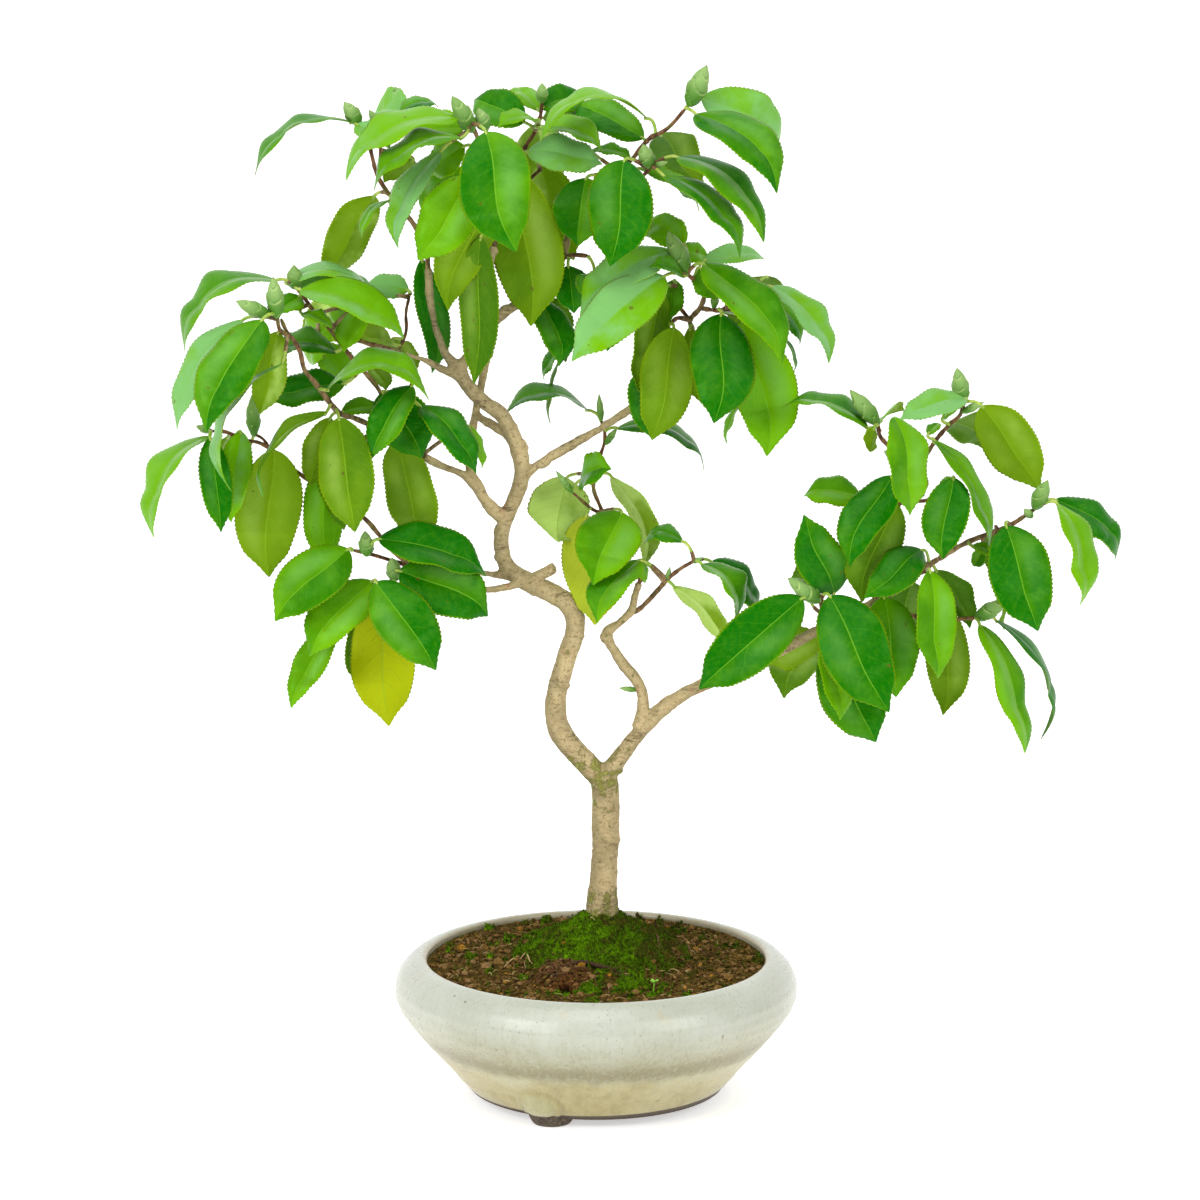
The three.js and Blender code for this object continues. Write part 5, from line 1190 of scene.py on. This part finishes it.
class Field:
    """A value, colour or vector that changes over a surface, reckoned with as a number is."""

    def __init__(self, output):
        self.output = output

    def through(self, kind, output, inputs, **settings):
        """One output of a new node in the same tree."""
        return add_node(self.output.id_data, kind, output, inputs, **settings)

    def reckon(self, operation, other=0.0):
        """What a math node makes of this and another value."""
        return self.through("ShaderNodeMath", 0, {0: self, 1: other}, operation=operation)

    def __add__(self, other):
        return self.reckon("ADD", other)

    def __sub__(self, other):
        return self.reckon("SUBTRACT", other)

    def __mul__(self, other):
        return self.reckon("MULTIPLY", other)

    def rise(self, low, high, to_low=0.0, to_high=1.0):
        """Taken smoothly from the range low to high into the range to_low to to_high."""
        ends = {"From Min": low, "From Max": high, "To Min": to_low, "To Max": to_high}
        inputs = {"Value": self, **ends}
        return self.through("ShaderNodeMapRange", "Result", inputs, interpolation_type="SMOOTHSTEP")

    def fall(self, low, high, from_high=1.0):
        """So much below low, falling smoothly to 0 above high."""
        return self.rise(low, high, from_high, 0.0)

    def part(self, letter):
        """The X, Y or Z of a vector."""
        return self.through("ShaderNodeSeparateXYZ", letter, {0: self})

    def vector(self, operation, other=(0, 0, 0), output="Vector"):
        """What a vector math node makes of this and another vector."""
        return self.through("ShaderNodeVectorMath", output, {0: self, 1: other}, operation=operation)

    def stretched(self, x, y, z):
        """Coordinates scaled by three factors."""
        return self.through("ShaderNodeMapping", 0, {"Vector": self, "Scale": (x, y, z)})

    def noise(self, scale, detail=4.0, roughness=0.55):
        """Fractal noise of about 0 to 1 at these coordinates, its scale in cells a metre."""
        look = {"Scale": scale, "Detail": detail, "Roughness": roughness}
        return self.through("ShaderNodeTexNoise", "Fac", {"Vector": self, **look})

    def specks(self, scale, rarest, largest):
        """1 inside round dots: one in each cell drawn above rarest, up to so many cells in radius."""
        away = self.through("ShaderNodeTexVoronoi", "Distance", {"Vector": self, "Scale": scale})
        drawn = Field(away.output.node.outputs["Color"])
        drawn = drawn.through("ShaderNodeSeparateColor", "Red", {0: drawn})
        return away.reckon("LESS_THAN", drawn.rise(rarest, 1.0, 0.0, largest))

    def raised(self, depth, strength):
        """The normal of a relief of this height, so many metres deep."""
        inputs = {"Height": self, "Distance": depth, "Strength": strength}
        return self.through("ShaderNodeBump", "Normal", inputs)


def spot_in(tree):
    """Object coordinates."""
    return add_node(tree, "ShaderNodeTexCoord", "Object")


def tone_in(tree):
    """The piece's own tone attribute."""
    return add_node(tree, "ShaderNodeAttribute", "Fac", attribute_name="tone")


def chart_in(tree):
    """Both values of the piece's own chart."""
    chart = add_node(tree, "ShaderNodeUVMap", "UV", uv_map="chart")
    return chart.part("X"), chart.part("Y")


class Finish:
    """A material in the making."""

    def __init__(self, name, tint, roughness, gloss=0.5):
        self.material = bpy.data.materials.new(name)
        self.material.use_nodes = True
        self.tree = self.material.node_tree
        self.shader = self.tree.nodes["Principled BSDF"]
        self.give(Base_Color=tint, Roughness=roughness, Specular_IOR_Level=gloss)
        self.material.diffuse_color = self.shader.inputs["Base Color"].default_value

    def give(self, **sockets):
        """Sets the shader's sockets, named with underscores for spaces."""
        for name, value in sockets.items():
            connect(self.shader.inputs[name.replace("_", " ")], value)

    def mixed(self, first, *layers):
        """The first colour with each further one laid over it, given as its share and itself."""
        tint = first
        for share, over in layers:
            inputs = {"Factor": share, 6: tint, 7: over}
            tint = add_node(self.tree, "ShaderNodeMix", 2, inputs, data_type="RGBA")
        return tint

    def paint(self, first, *layers):
        """Makes the mixed colours the base colour."""
        self.give(Base_Color=self.mixed(first, *layers))


def leaf_pattern():
    """Masks for both faces of a blade from its chart, which runs from -1 to 1 across and 0 to 1
    along: the midrib, the side veins that leave it in pairs and bend to the tip, the margin, broad
    patches and fine mottling. A further mask, for painted light, is -1 on one side of the midrib and
    1 on the other, or near 0 on leaves of some tones, so that one half of the fold is painted lighter.
    The last is a long spot in the middle of each half, where a painted sheen lies."""
    group = bpy.data.node_groups.new("leaf_pattern", "ShaderNodeTree")
    spot = spot_in(group)
    across, along = chart_in(group)
    off = across.reckon("ABSOLUTE")
    patches = spot.noise(55, 3)
    order = along * VEIN_PAIRS - off.reckon("POWER", 1.35) * 1.9 + patches * 1.4
    # Where the painted sheen lies: a long spot in the middle of each half
    painted_gleam = off.rise(0.03, 0.4) * off.fall(0.5, 0.95) * along.rise(0.05, 0.35) * along.fall(0.4, 1.0)
    masks = {
        "Midrib": off.fall(0.004, 0.034),
        "Veins": order.reckon("PINGPONG", 0.5).fall(0.0, 0.09) * off.fall(0.72, 0.9),
        "Margin": off.rise(0.93, 0.995),
        "Patches": patches,
        "Mottling": spot.noise(420, 4),
        # painted light: which half of the fold is painted lighter, set by the tone
        "Painted_lit_half": across.rise(-0.06, 0.06, -1.0, 1.0) * (tone_in(group) * 57.0).reckon("SINE"),
        "Painted_gleam": painted_gleam,
    }
    for name in masks:
        group.interface.new_socket(name=name, in_out="OUTPUT", socket_type="NodeSocketFloat")
    add_node(group, "NodeGroupOutput", inputs=masks)
    return group


def leaf_finish(name, pattern, colours, roughness, gloss, vein_share, relief):
    """A face of a blade. Deep and light green are mixed by the leaf's tone, by patches and by painted
    light that makes one half of the fold lighter than the other, and midrib, veins and margin are
    drawn over them. A pale painted sheen lies in patches in the middle of each half, most where the
    tone is above 1, and a tone of 2 is the old yellow leaf."""
    deep, light, pale, old, rib, edge = colours
    face = Finish(name, deep, roughness, gloss)
    node = face.tree.nodes.new("ShaderNodeGroup")
    node.node_tree = pattern
    midrib, veins, margin, patches, mottling, half, painted_gleam = map(Field, node.outputs)
    tone = tone_in(face.tree)
    # Painted light: the tone and patches, with one half of the fold painted lighter than the other
    shade = tone + (patches.rise(0.3, 0.7, -0.12, 0.12) + half * 0.14)
    # Painted sheen: a pale highlight in the middle of each half, strongest on the lit half
    sheen = painted_gleam * patches.rise(0.3, 0.6, 0.5, 1.0) * half.rise(-0.6, 0.6, 0.1, 1.0)
    sheen = sheen * tone.rise(0.0, 0.4, 0.15, 0.28) * tone.fall(1.0, 1.15)
    spotted = spot_in(face.tree).noise(210, 1).rise(0.765, 0.79)
    face.paint(
        deep,
        (shade.rise(0.0, 1.0), light),
        (mottling.rise(0.35, 0.8, 0.0, 0.14), light),
        # the painted sheen, which covers most of the face on the palest tones
        (sheen + shade.rise(1.0, 1.3, 0.0, 0.85), pale),
        (tone.rise(1.5, 1.6), old),
        (veins * vein_share, rib),
        (margin * 0.5, edge),
        (midrib * 0.65, rib),
        (spotted * 0.7, (92, 74, 30)),
    )
    face.give(Normal=(veins * relief + mottling).raised(0.00025, 0.5))
    return face


def make_leaf_finishes(colours):
    """Both faces of the leaves, their stalks, the young wood and the bud scales."""
    pattern = leaf_pattern()
    above = [colours.leaf_deep, colours.leaf_light, *LEAF_UPPER_COLOURS]
    upper = leaf_finish("leaf_upper", pattern, above, 0.3, 0.27, 0.06, -0.4)
    upper.give(Specular_Tint=(150, 240, 110))
    below = [LEAF_UNDER_DEEP, colours.leaf_underside, *LEAF_UNDER_COLOURS]
    leaf_finish("leaf_under", pattern, below, 0.55, 0.08, 0.14, 0.8)

    stalk = Finish("leaf_stalk", (150, 178, 58), 0.42)
    uneven = spot_in(stalk.tree).noise(260).rise(0.35, 0.7)
    stalk.paint((128, 168, 44), (uneven, (178, 190, 84)))

    scales = Finish("bud_scales", (104, 144, 62), 0.45, 0.25)
    step, along = chart_in(scales.tree)
    scales.paint(
        (74, 128, 34),
        (along.rise(0.15, 0.75), (136, 170, 96)),
        (tone_in(scales.tree) * 0.4, (84, 132, 40)),
        (step.rise(0.82, 0.97, 0.0, 0.7), (184, 200, 120)),
        (step.fall(0.0, 0.16, 0.7), (40, 84, 16)),
        (along.rise(0.93, 1.0, 0.0, 0.5), (120, 104, 56)),
    )

    wood = Finish("young_wood", (122, 96, 68), 0.68, 0.2)
    spot = spot_in(wood.tree)
    grain = spot.stretched(1, 1, 0.4).noise(420)
    ridges = grain.rise(0.35, 0.65)
    greenish = spot.noise(70).rise(0.5, 0.7, 0.0, 0.4)
    older = wood.mixed((94, 76, 50), (ridges, (158, 136, 96)))
    wood.paint(
        (66, 38, 24),
        (ridges, (126, 84, 52)),
        (greenish, (124, 138, 62)),
        (tone_in(wood.tree), older),
    )
    wood.give(Normal=grain.raised(0.0006, 0.6))


def make_bark_finish(colours):
    """Smooth grey-beige bark with fine dark pits, bands of short cross cracks, rust marks, olive lichen
    crusts in the fork and green algae low on the trunk. Where it faces left or down it is darkened to
    olive as painted shade."""
    bark = Finish("beige_bark", (170, 152, 112), 0.75, 0.2)
    spot = spot_in(bark.tree)
    height = spot.part("Z")
    broad = spot.noise(38, 4)
    fine = spot.stretched(1, 1, 1.5).noise(420, 6, 0.72)
    pits = spot.noise(1000, 3)
    aged = height.rise(0.33, 0.42) * broad.rise(0.4, 0.6, 0.25, 0.6)
    # Painted shade: the bark is darkened to olive on the sides that face down or to the left
    facing = add_node(bark.tree, "ShaderNodeNewGeometry", "Normal")
    painted_shade_low_and_left = facing.part("Z").fall(-0.7, 0.0, 0.3) + facing.part("X").fall(-0.9, 0.1, 0.4)
    bands = spot.stretched(0.25, 0.25, 1).noise(85, 3).rise(0.56, 0.64)
    cracks = spot.stretched(0.45, 0.45, 2.6).noise(330, 4, 0.6).rise(0.54, 0.6) * bands
    fork = (place(FORK) * MM).tolist()
    near_fork = spot.vector("DISTANCE", fork, "Value").fall(0.006, 0.03, 0.17)
    low = height.fall(*ALGAE_TOP, 0.2)
    lichen = (spot.noise(190, 5, 0.65) + near_fork.reckon("MAXIMUM", low)).rise(0.62, 0.7)
    bark.paint(
        colours.bark_light,
        (broad.rise(0.35, 0.68), colours.bark_dark),
        (fine.rise(0.5, 0.66, 0.0, 0.6), (200, 186, 142)),
        (fine.fall(0.36, 0.47, 0.6), (116, 98, 64)),
        (pits.rise(0.58, 0.68, 0.0, 0.6), (96, 80, 52)),
        (aged, (126, 118, 86)),
        # the painted shade on the lower and left sides
        (painted_shade_low_and_left, (112, 104, 66)),
        (spot.noise(130, 3).rise(0.62, 0.74, 0.0, 0.5), (168, 116, 88)),
        (cracks * 0.6, (92, 76, 46)),
        (lichen * 0.85, (120, 122, 46)),
        (lichen * pits.rise(0.5, 0.6) * 0.7, (170, 170, 92)),
    )
    bark.give(Normal=(fine + lichen - pits * 0.5 - cracks).raised(0.0011, 0.8))


def make_bowl_finishes(colours):
    """The glaze, the bare clay and the plastic of the screen. The glaze is pale above, palest on
    the shoulder, a brownish band low on the wall has run down in drips, and straw yellow shows below
    it. Brown specks and upright streaks lie all over it, and rust marks the rim. By the tone the
    boss is painted pale as a highlight and the groove beside it dark as painted shade."""
    glaze = Finish("celadon_glaze", (204, 206, 190), 0.3)
    glaze.give(Coat_Weight=0.3, Coat_Roughness=0.34)
    spot = spot_in(glaze.tree)
    height = spot.part("Z")
    streaks = spot.stretched(1, 1, 0.07).noise(190, 4, 0.6)
    runs = spot.stretched(1, 1, 0.25).noise(60, 3)
    cloudy = spot.noise(26, 3)
    fine = spot.noise(420, 4)
    mottled = spot.stretched(1, 1, 0.35).noise(560, 5, 0.65)
    uneven = spot.stretched(1, 1, 0.6)
    wander = (runs - 0.5) * 0.006 + (streaks - 0.5) * 0.005
    level = height + wander
    shaded = level.fall(BAND_TOP - 0.004, BAND_TOP + 0.018) * streaks.rise(0.3, 0.65, 0.55, 0.85)
    band = level.fall(BAND_TOP - 0.005, BAND_TOP + 0.006)
    band = band * level.rise(BAND_BOTTOM - 0.004, BAND_BOTTOM + 0.004)
    low = level.rise(BAND_TOP, BAND_TOP + 0.022, 1.0, 0.25)
    lower = glaze.mixed(
        colours.glaze_below,
        (streaks.rise(0.35, 0.7), (148, 136, 86)),
        (cloudy.rise(0.45, 0.65, 0.0, 0.4), (182, 174, 134)),
    )
    below = level.fall(BAND_BOTTOM - 0.005, BAND_BOTTOM + 0.001)
    lip = level.rise(BAND_BOTTOM - 0.011, BAND_BOTTOM - 0.0025) * below
    lip = lip * cloudy.rise(0.42, 0.56) * streaks.rise(0.35, 0.6, 0.1, 0.5)
    dots = uneven.specks(190.0, 0.86, 0.13).reckon("MAXIMUM", uneven.specks(700.0, 0.75, 0.22))
    painted_boss_light_and_shade = tone_in(glaze.tree)
    from_axis = spot.vector("ADD", (-BOWL_OFFSET * MM).tolist()).vector("MULTIPLY", (1, 1, 0))
    radius = from_axis.vector("LENGTH", output="Value")
    rim = (radius + wander).fall(0.0868, 0.0885) * height.rise(0.0675, 0.0695)
    rust = runs.rise(0.6, 0.72) * height.rise(0.058, 0.068)
    tilted = height + spot.part("X") * GLAZE_EDGE_TILT
    clay = tilted.fall(GLAZE_EDGE - 0.0004, GLAZE_EDGE + 0.0004)
    glaze.paint(
        colours.glaze,
        (cloudy.rise(0.35, 0.7), colours.glaze_clouds),
        (streaks.rise(0.45, 0.75, 0.0, 0.5), (156, 154, 128)),
        (fine.rise(0.5, 0.8, 0.0, 0.25), (190, 191, 178)),
        (height.rise(0.046, 0.064, 0.0, 0.45), (192, 198, 188)),
        (shaded, (142, 136, 98)),
        (band * 0.75, colours.glaze_band),
        (low * mottled.rise(0.54, 0.66, 0.0, 0.3), (184, 186, 164)),
        (low * mottled.fall(0.34, 0.46, 0.5), (120, 112, 72)),
        (below, lower),
        (lip, (178, 182, 156)),
        (dots * 0.65, (112, 92, 58)),
        # painted highlight on the boss's dome and painted shade in the groove beside it
        (painted_boss_light_and_shade.rise(0.0, 1.0, 0.0, 0.35), (168, 172, 140)),
        (painted_boss_light_and_shade.fall(-1.0, 0.0, 0.5), (124, 116, 72)),
        (rim * 0.55, (170, 148, 106)),
        (rust * 0.35, (190, 168, 124)),
        (clay, (74, 62, 50)),
    )
    relief = runs + streaks + (fine * 0.25 - dots * 0.5)
    rough = fine.rise(0.3, 0.8, 0.26, 0.42).reckon("MAXIMUM", clay)
    glaze.give(Roughness=rough, Normal=relief.raised(0.0009, 0.35))

    clay = Finish("bare_clay", (110, 94, 78), 0.85)
    grit = spot_in(clay.tree).noise(700, 4)
    clay.paint((62, 52, 42), (grit.rise(0.35, 0.7), (104, 90, 74)))
    clay.give(Normal=grit.raised(0.0008, 0.7))

    screen = Finish("screen_plastic", (38, 40, 40), 0.45)
    screen.give(Roughness=spot_in(screen.tree).noise(300).rise(0.3, 0.7, 0.35, 0.55))


def make_ground_finishes(colours):
    """Soil, grains, litter, moss and the seedling."""
    soil = Finish("crumbly_soil", (84, 66, 36), 0.95, 0.05)
    spot = spot_in(soil.tree)
    crumb = spot.noise(420, 6, 0.7)
    tone = tone_in(soil.tree)
    rooty = soil.mixed((62, 34, 14), (crumb.rise(0.38, 0.62), (136, 92, 50)))
    soil.paint(
        colours.soil_dark,
        (crumb.rise(0.35, 0.68), colours.soil_light),
        (spot.noise(60, 4).rise(0.46, 0.66, 0.0, 0.55), (84, 80, 18)),
        (tone.rise(0.05, 0.4), rooty),
        # painted shade: the hollow in the lump nearly black
        (tone.rise(0.6, 0.9), (12, 7, 3)),
    )
    soil.give(Normal=crumb.raised(0.004, 0.9))

    grain = Finish("soil_grain", (120, 90, 60), 0.9, 0.08)
    tone = tone_in(grain.tree)
    crumb = spot_in(grain.tree).noise(900, 4)
    grain.paint(
        (68, 48, 18),
        (tone.rise(0.0, 0.6), (134, 102, 48)),
        (tone.rise(0.3, 0.33), (86, 84, 18)),
        (tone.rise(0.5, 0.54), (112, 84, 38)),
        (tone.rise(0.74, 0.82), (140, 108, 56)),
        (tone.rise(0.92, 0.94), (158, 122, 80)),
        (tone.rise(0.98, 0.99), (176, 124, 36)),
        (crumb.fall(0.35, 0.65, 0.5), (52, 40, 18)),
    )
    grain.give(Normal=crumb.raised(0.001, 0.8))

    straw = Finish("root_and_straw", (120, 96, 60), 0.75, 0.12)
    tone = tone_in(straw.tree)
    fibre = spot_in(straw.tree).noise(600, 3)
    straw.paint(
        (46, 36, 24),
        (tone.rise(0.0, 0.5), (128, 90, 56)),
        (tone.rise(0.5, 0.9), (196, 170, 116)),
        (fibre.rise(0.4, 0.7, 0.0, 0.4), (92, 70, 44)),
    )
    straw.give(Normal=fibre.raised(0.0008, 0.6))

    moss = Finish("velvet_moss", (66, 108, 14), 0.9, 0.1)
    spot = spot_in(moss.tree)
    fine = spot.noise(500, 5, 0.7)
    fresh = spot.noise(48, 4).rise(0.3, 0.7, -0.15, 0.15) + tone_in(moss.tree)
    moss.paint(
        colours.moss_dry,
        (fresh.rise(0.0, 0.45), (72, 98, 2)),
        (fresh.rise(0.4, 0.95), colours.moss_fresh),
        (spot.noise(85, 5).rise(0.53, 0.64, 0.0, 0.6), (98, 80, 30)),
        (fine.fall(0.38, 0.6, 0.75), (22, 34, 0)),
    )
    moss.give(Normal=fine.raised(0.002, 0.8))

    seedling = Finish("seedling", (150, 208, 70), 0.45)
    seedling.paint((104, 176, 30), (spot_in(seedling.tree).noise(500), (150, 206, 56)))


def make_finishes(colours):
    """All materials of the bonsai, with the user's colours."""
    make_leaf_finishes(colours)
    make_bark_finish(colours)
    make_bowl_finishes(colours)
    make_ground_finishes(colours)


def area_light(name, location, size, power):
    """A square soft light at a point, turned towards the plant."""
    light = bpy.data.lights.new(name, "AREA")
    light.shape = "SQUARE"
    light.size = size
    light.energy = power
    lamp = bpy.data.objects.new(name, light)
    lamp.location = location
    lamp.rotation_euler = (Vector(LAMP_AIM) - Vector(location)).to_track_quat("-Z", "Y").to_euler()
    bpy.context.scene.collection.objects.link(lamp)


def make_stage(scene):
    """A pale floor that sweeps up behind, soft light from both front corners and above, and the
    camera at the photo's place, aimed down its line of sight."""
    bend = np.linspace(0, math.pi / 2, 17)
    sweep = np.array([
        [-STAGE_SIZE, *(STAGE_BACK + STAGE_BEND * np.sin(bend)), STAGE_BACK + STAGE_BEND],
        [0.0, *(STAGE_BEND * (1 - np.cos(bend))), STAGE_SIZE],
    ]).T.tolist()
    corners = [(x, y, z) for y, z in sweep for x in (-STAGE_SIZE, STAGE_SIZE)]
    faces = [(2 * k, 2 * k + 1, 2 * k + 3, 2 * k + 2) for k in range(len(sweep) - 1)]
    mesh = bpy.data.meshes.new("floor")
    mesh.from_pydata(corners, [], faces)
    mesh.polygons.foreach_set("use_smooth", np.ones(len(faces), bool))
    floor = bpy.data.objects.new("floor", mesh)
    scene.collection.objects.link(floor)
    paper = Finish("pale_floor", FLOOR_COLOUR, 0.9)
    paper.give(Emission_Color=WHITE, Emission_Strength=FLOOR_GLOW)
    mesh.materials.append(paper.material)

    world = bpy.data.worlds.new("studio")
    world.use_nodes = True
    background = world.node_tree.nodes["Background"]
    background.inputs["Color"].default_value = WHITE
    background.inputs["Strength"].default_value = WORLD_STRENGTH
    scene.world = world
    for name, location, size, power in LAMPS:
        area_light(name, location, size, power)

    scene.view_settings.view_transform = "Standard"
    camera = bpy.data.cameras.new("camera")
    camera.lens = camera.sensor_width * VIEW_DISTANCE / SHEET
    holder = bpy.data.objects.new("camera", camera)
    holder.location = (EYE + BOWL_OFFSET) * MM
    holder.rotation_euler = (math.pi / 2 - VIEW_PITCH, 0, 0)
    scene.collection.objects.link(holder)
    scene.camera = holder


def chosen(name, description, red, green, blue):
    """A colour that a user can choose, with its default, 0 to 255 as seen on a screen."""
    linear = colour(red, green, blue)
    return FloatVectorProperty(
        name=name, description=description, default=linear, size=4, subtype="COLOR", min=0, max=1
    )


class BonsaiColours(PropertyGroup):
    """Colours of the leaves, the bark, the bowl and the ground"""

    leaf_deep: chosen("Deep leaf", "Upper side of the darkest leaves", 6, 98, 0)
    leaf_light: chosen("Light leaf", "Upper side of the lightest leaves", 106, 166, 2)
    leaf_underside: chosen("Underside", "Lower side of the lightest leaves", 110, 148, 4)
    bark_light: chosen("Light bark", "Lighter clouds of the bark", 200, 178, 132)
    bark_dark: chosen("Dark bark", "Darker clouds of the bark", 168, 150, 110)
    glaze: chosen("Glaze", "The bowl's glaze above the band", 174, 176, 159)
    glaze_clouds: chosen("Glaze clouds", "Darker clouds in the glaze", 160, 161, 139)
    glaze_band: chosen("Glaze band", "The band low on the bowl's wall", 108, 98, 54)
    glaze_below: chosen("Glaze below", "The glaze under the band", 164, 153, 104)
    soil_dark: chosen("Dark soil", "Hollows between the crumbs", 50, 36, 12)
    soil_light: chosen("Light soil", "Tops of the crumbs", 146, 116, 58)
    moss_dry: chosen("Dry moss", "The oldest moss", 104, 86, 30)
    moss_fresh: chosen("Fresh moss", "The youngest moss", 118, 172, 0)


class BonsaiWood(PropertyGroup):
    """How the trunk and limbs are made"""

    grain: FloatProperty(
        name="Grain",
        description="How fine the merged skin of the limbs is",
        default=0.8 * MM,
        min=0.3 * MM,
        precision=4,
        unit="LENGTH",
    )


class BonsaiLeaves(PropertyGroup):
    """How the leaves are made"""

    fullness: FloatProperty(
        name="Fullness",
        description="Width of the leaves as a share of the sketched width",
        default=1.02,
        min=0.5,
        max=1.5,
        subtype="FACTOR",
    )
    seed: IntProperty(name="Seed", description="Where the leaves' random draws start", default=11)


class BonsaiGround(PropertyGroup):
    """How the soil and the moss are made"""

    rings: IntProperty(name="Rings", description="Rings of points from the middle out", default=100)
    columns: IntProperty(name="Columns", description="Points in each ring", default=260)
    tufts: IntProperty(name="Tufts", description="How many moss tufts stand", default=26000)
    grains: IntProperty(name="Grains", description="How many soil grains lie", default=5600)
    straws: IntProperty(name="Straws", description="How many bits of straw lie", default=260)
    seed: IntProperty(name="Seed", description="Where the ground's random draws start", default=5)


class BonsaiBowl(PropertyGroup):
    """How the bowl is made"""

    segments: IntProperty(name="Segments", description="Points in each round of the bowl", default=300)


class OBJECT_OT_bonsai_sprays(Operator):
    """Makes the leafy sprays"""

    bl_idname = "object.bonsai_sprays"
    bl_label = "Leafy sprays"

    def execute(self, context):
        leaves = context.scene.bonsai_leaves
        for k, (name, sketch) in enumerate(SPRAYS.items()):
            mesh = spray_mesh(name, sketch, leaves.fullness, leaves.seed + k)
            add_piece(f"leafy_{name}", mesh, FINISHES_OF_SPRAY, [name])
        return {"FINISHED"}


class OBJECT_OT_bonsai_wood(Operator):
    """Makes the trunk with its limbs"""

    bl_idname = "object.bonsai_wood"
    bl_label = "Trunk and limbs"

    def execute(self, context):
        mesh = wood_mesh("barked_wood", context.scene.bonsai_wood.grain / MM)
        add_piece("barked_wood", mesh, ["beige_bark"], ["trunk_and_limbs"])
        return {"FINISHED"}


class OBJECT_OT_bonsai_bowl(Operator):
    """Makes the glazed bowl and gives the drain screen its plastic"""

    bl_idname = "object.bonsai_bowl"
    bl_label = "Glazed bowl"

    def execute(self, context):
        mesh = bowl_mesh("glazed_bowl", context.scene.bonsai_bowl.segments)
        add_piece("glazed_bowl", mesh, ["celadon_glaze", "bare_clay"], ["bowl"])
        screen = bpy.data.objects["drain_screen"]
        screen.data.materials.clear()
        screen.data.materials.append(bpy.data.materials["screen_plastic"])
        return {"FINISHED"}


class OBJECT_OT_bonsai_soil(Operator):
    """Makes the soil with its grains, roots, straws and seedling"""

    bl_idname = "object.bonsai_soil"
    bl_label = "Soil"

    def execute(self, context):
        ground_set = context.scene.bonsai_ground
        bed = soil_mesh("soil_bed", ground_set.rings, ground_set.columns)
        add_piece("soil_bed", bed, ["crumbly_soil"], ["soil"])
        grains = grain_mesh("soil_grains", ground_set.grains, ground_set.seed)
        add_piece("soil_grains", grains, ["soil_grain"])
        litter = litter_mesh("soil_litter", ground_set.straws, ground_set.seed + 1)
        add_piece("soil_litter", litter, ["root_and_straw"])
        add_piece("seedling", seedling_mesh("seedling"), ["seedling"])
        return {"FINISHED"}


class OBJECT_OT_bonsai_moss(Operator):
    """Makes the moss with its tufts"""

    bl_idname = "object.bonsai_moss"
    bl_label = "Moss"

    def execute(self, context):
        ground_set = context.scene.bonsai_ground
        cushion = moss_mesh("moss_cushion", ground_set.rings, ground_set.columns)
        add_piece("moss_cushion", cushion, ["velvet_moss"], ["moss"])
        tufts = tuft_mesh("moss_tufts", ground_set.tufts, ground_set.seed + 2)
        add_piece("moss_tufts", tufts, ["velvet_moss"])
        return {"FINISHED"}


class OBJECT_OT_bonsai_finishes(Operator):
    """Makes all materials"""

    bl_idname = "object.bonsai_finishes"
    bl_label = "Finishes"

    def execute(self, context):
        make_finishes(context.scene.bonsai_colours)
        return {"FINISHED"}


class OBJECT_OT_bonsai_stage(Operator):
    """Makes the floor, the lights and the camera"""

    bl_idname = "object.bonsai_stage"
    bl_label = "Stage"

    def execute(self, context):
        make_stage(context.scene)
        return {"FINISHED"}


class VIEW3D_PT_bonsai(Panel):
    """Lists the settings and the steps"""

    bl_label = "Camellia bonsai"
    bl_space_type = "VIEW_3D"
    bl_region_type = "UI"
    bl_category = "Bonsai"

    def draw(self, context):
        layout = self.layout
        for group_name, group in SETTINGS.items():
            box = layout.box()
            for key in group.__annotations__:
                box.prop(getattr(context.scene, group_name), key)
        for step in STEPS:
            layout.operator(step.bl_idname)


SETTINGS = {
    "bonsai_colours": BonsaiColours,
    "bonsai_wood": BonsaiWood,
    "bonsai_leaves": BonsaiLeaves,
    "bonsai_ground": BonsaiGround,
    "bonsai_bowl": BonsaiBowl,
}
STEPS = [
    OBJECT_OT_bonsai_finishes,
    OBJECT_OT_bonsai_sprays,
    OBJECT_OT_bonsai_wood,
    OBJECT_OT_bonsai_bowl,
    OBJECT_OT_bonsai_soil,
    OBJECT_OT_bonsai_moss,
    OBJECT_OT_bonsai_stage,
]


def register():
    """Adds the classes and puts the settings on the scene."""
    for listed in [*SETTINGS.values(), *STEPS, VIEW3D_PT_bonsai]:
        bpy.utils.register_class(listed)
    for name, group in SETTINGS.items():
        setattr(bpy.types.Scene, name, PointerProperty(type=group))


def unregister():
    """Takes the settings and the classes away."""
    for name in SETTINGS:
        delattr(bpy.types.Scene, name)
    for listed in [VIEW3D_PT_bonsai, *reversed(STEPS), *reversed(SETTINGS.values())]:
        bpy.utils.unregister_class(listed)


def main():
    """Makes every piece and the stage."""
    register()
    bpy.ops.object.bonsai_finishes()
    bpy.ops.object.bonsai_sprays()
    bpy.ops.object.bonsai_wood()
    bpy.ops.object.bonsai_bowl()
    bpy.ops.object.bonsai_soil()
    bpy.ops.object.bonsai_moss()
    bpy.ops.object.bonsai_stage()


if __name__ == "__main__":
    main()
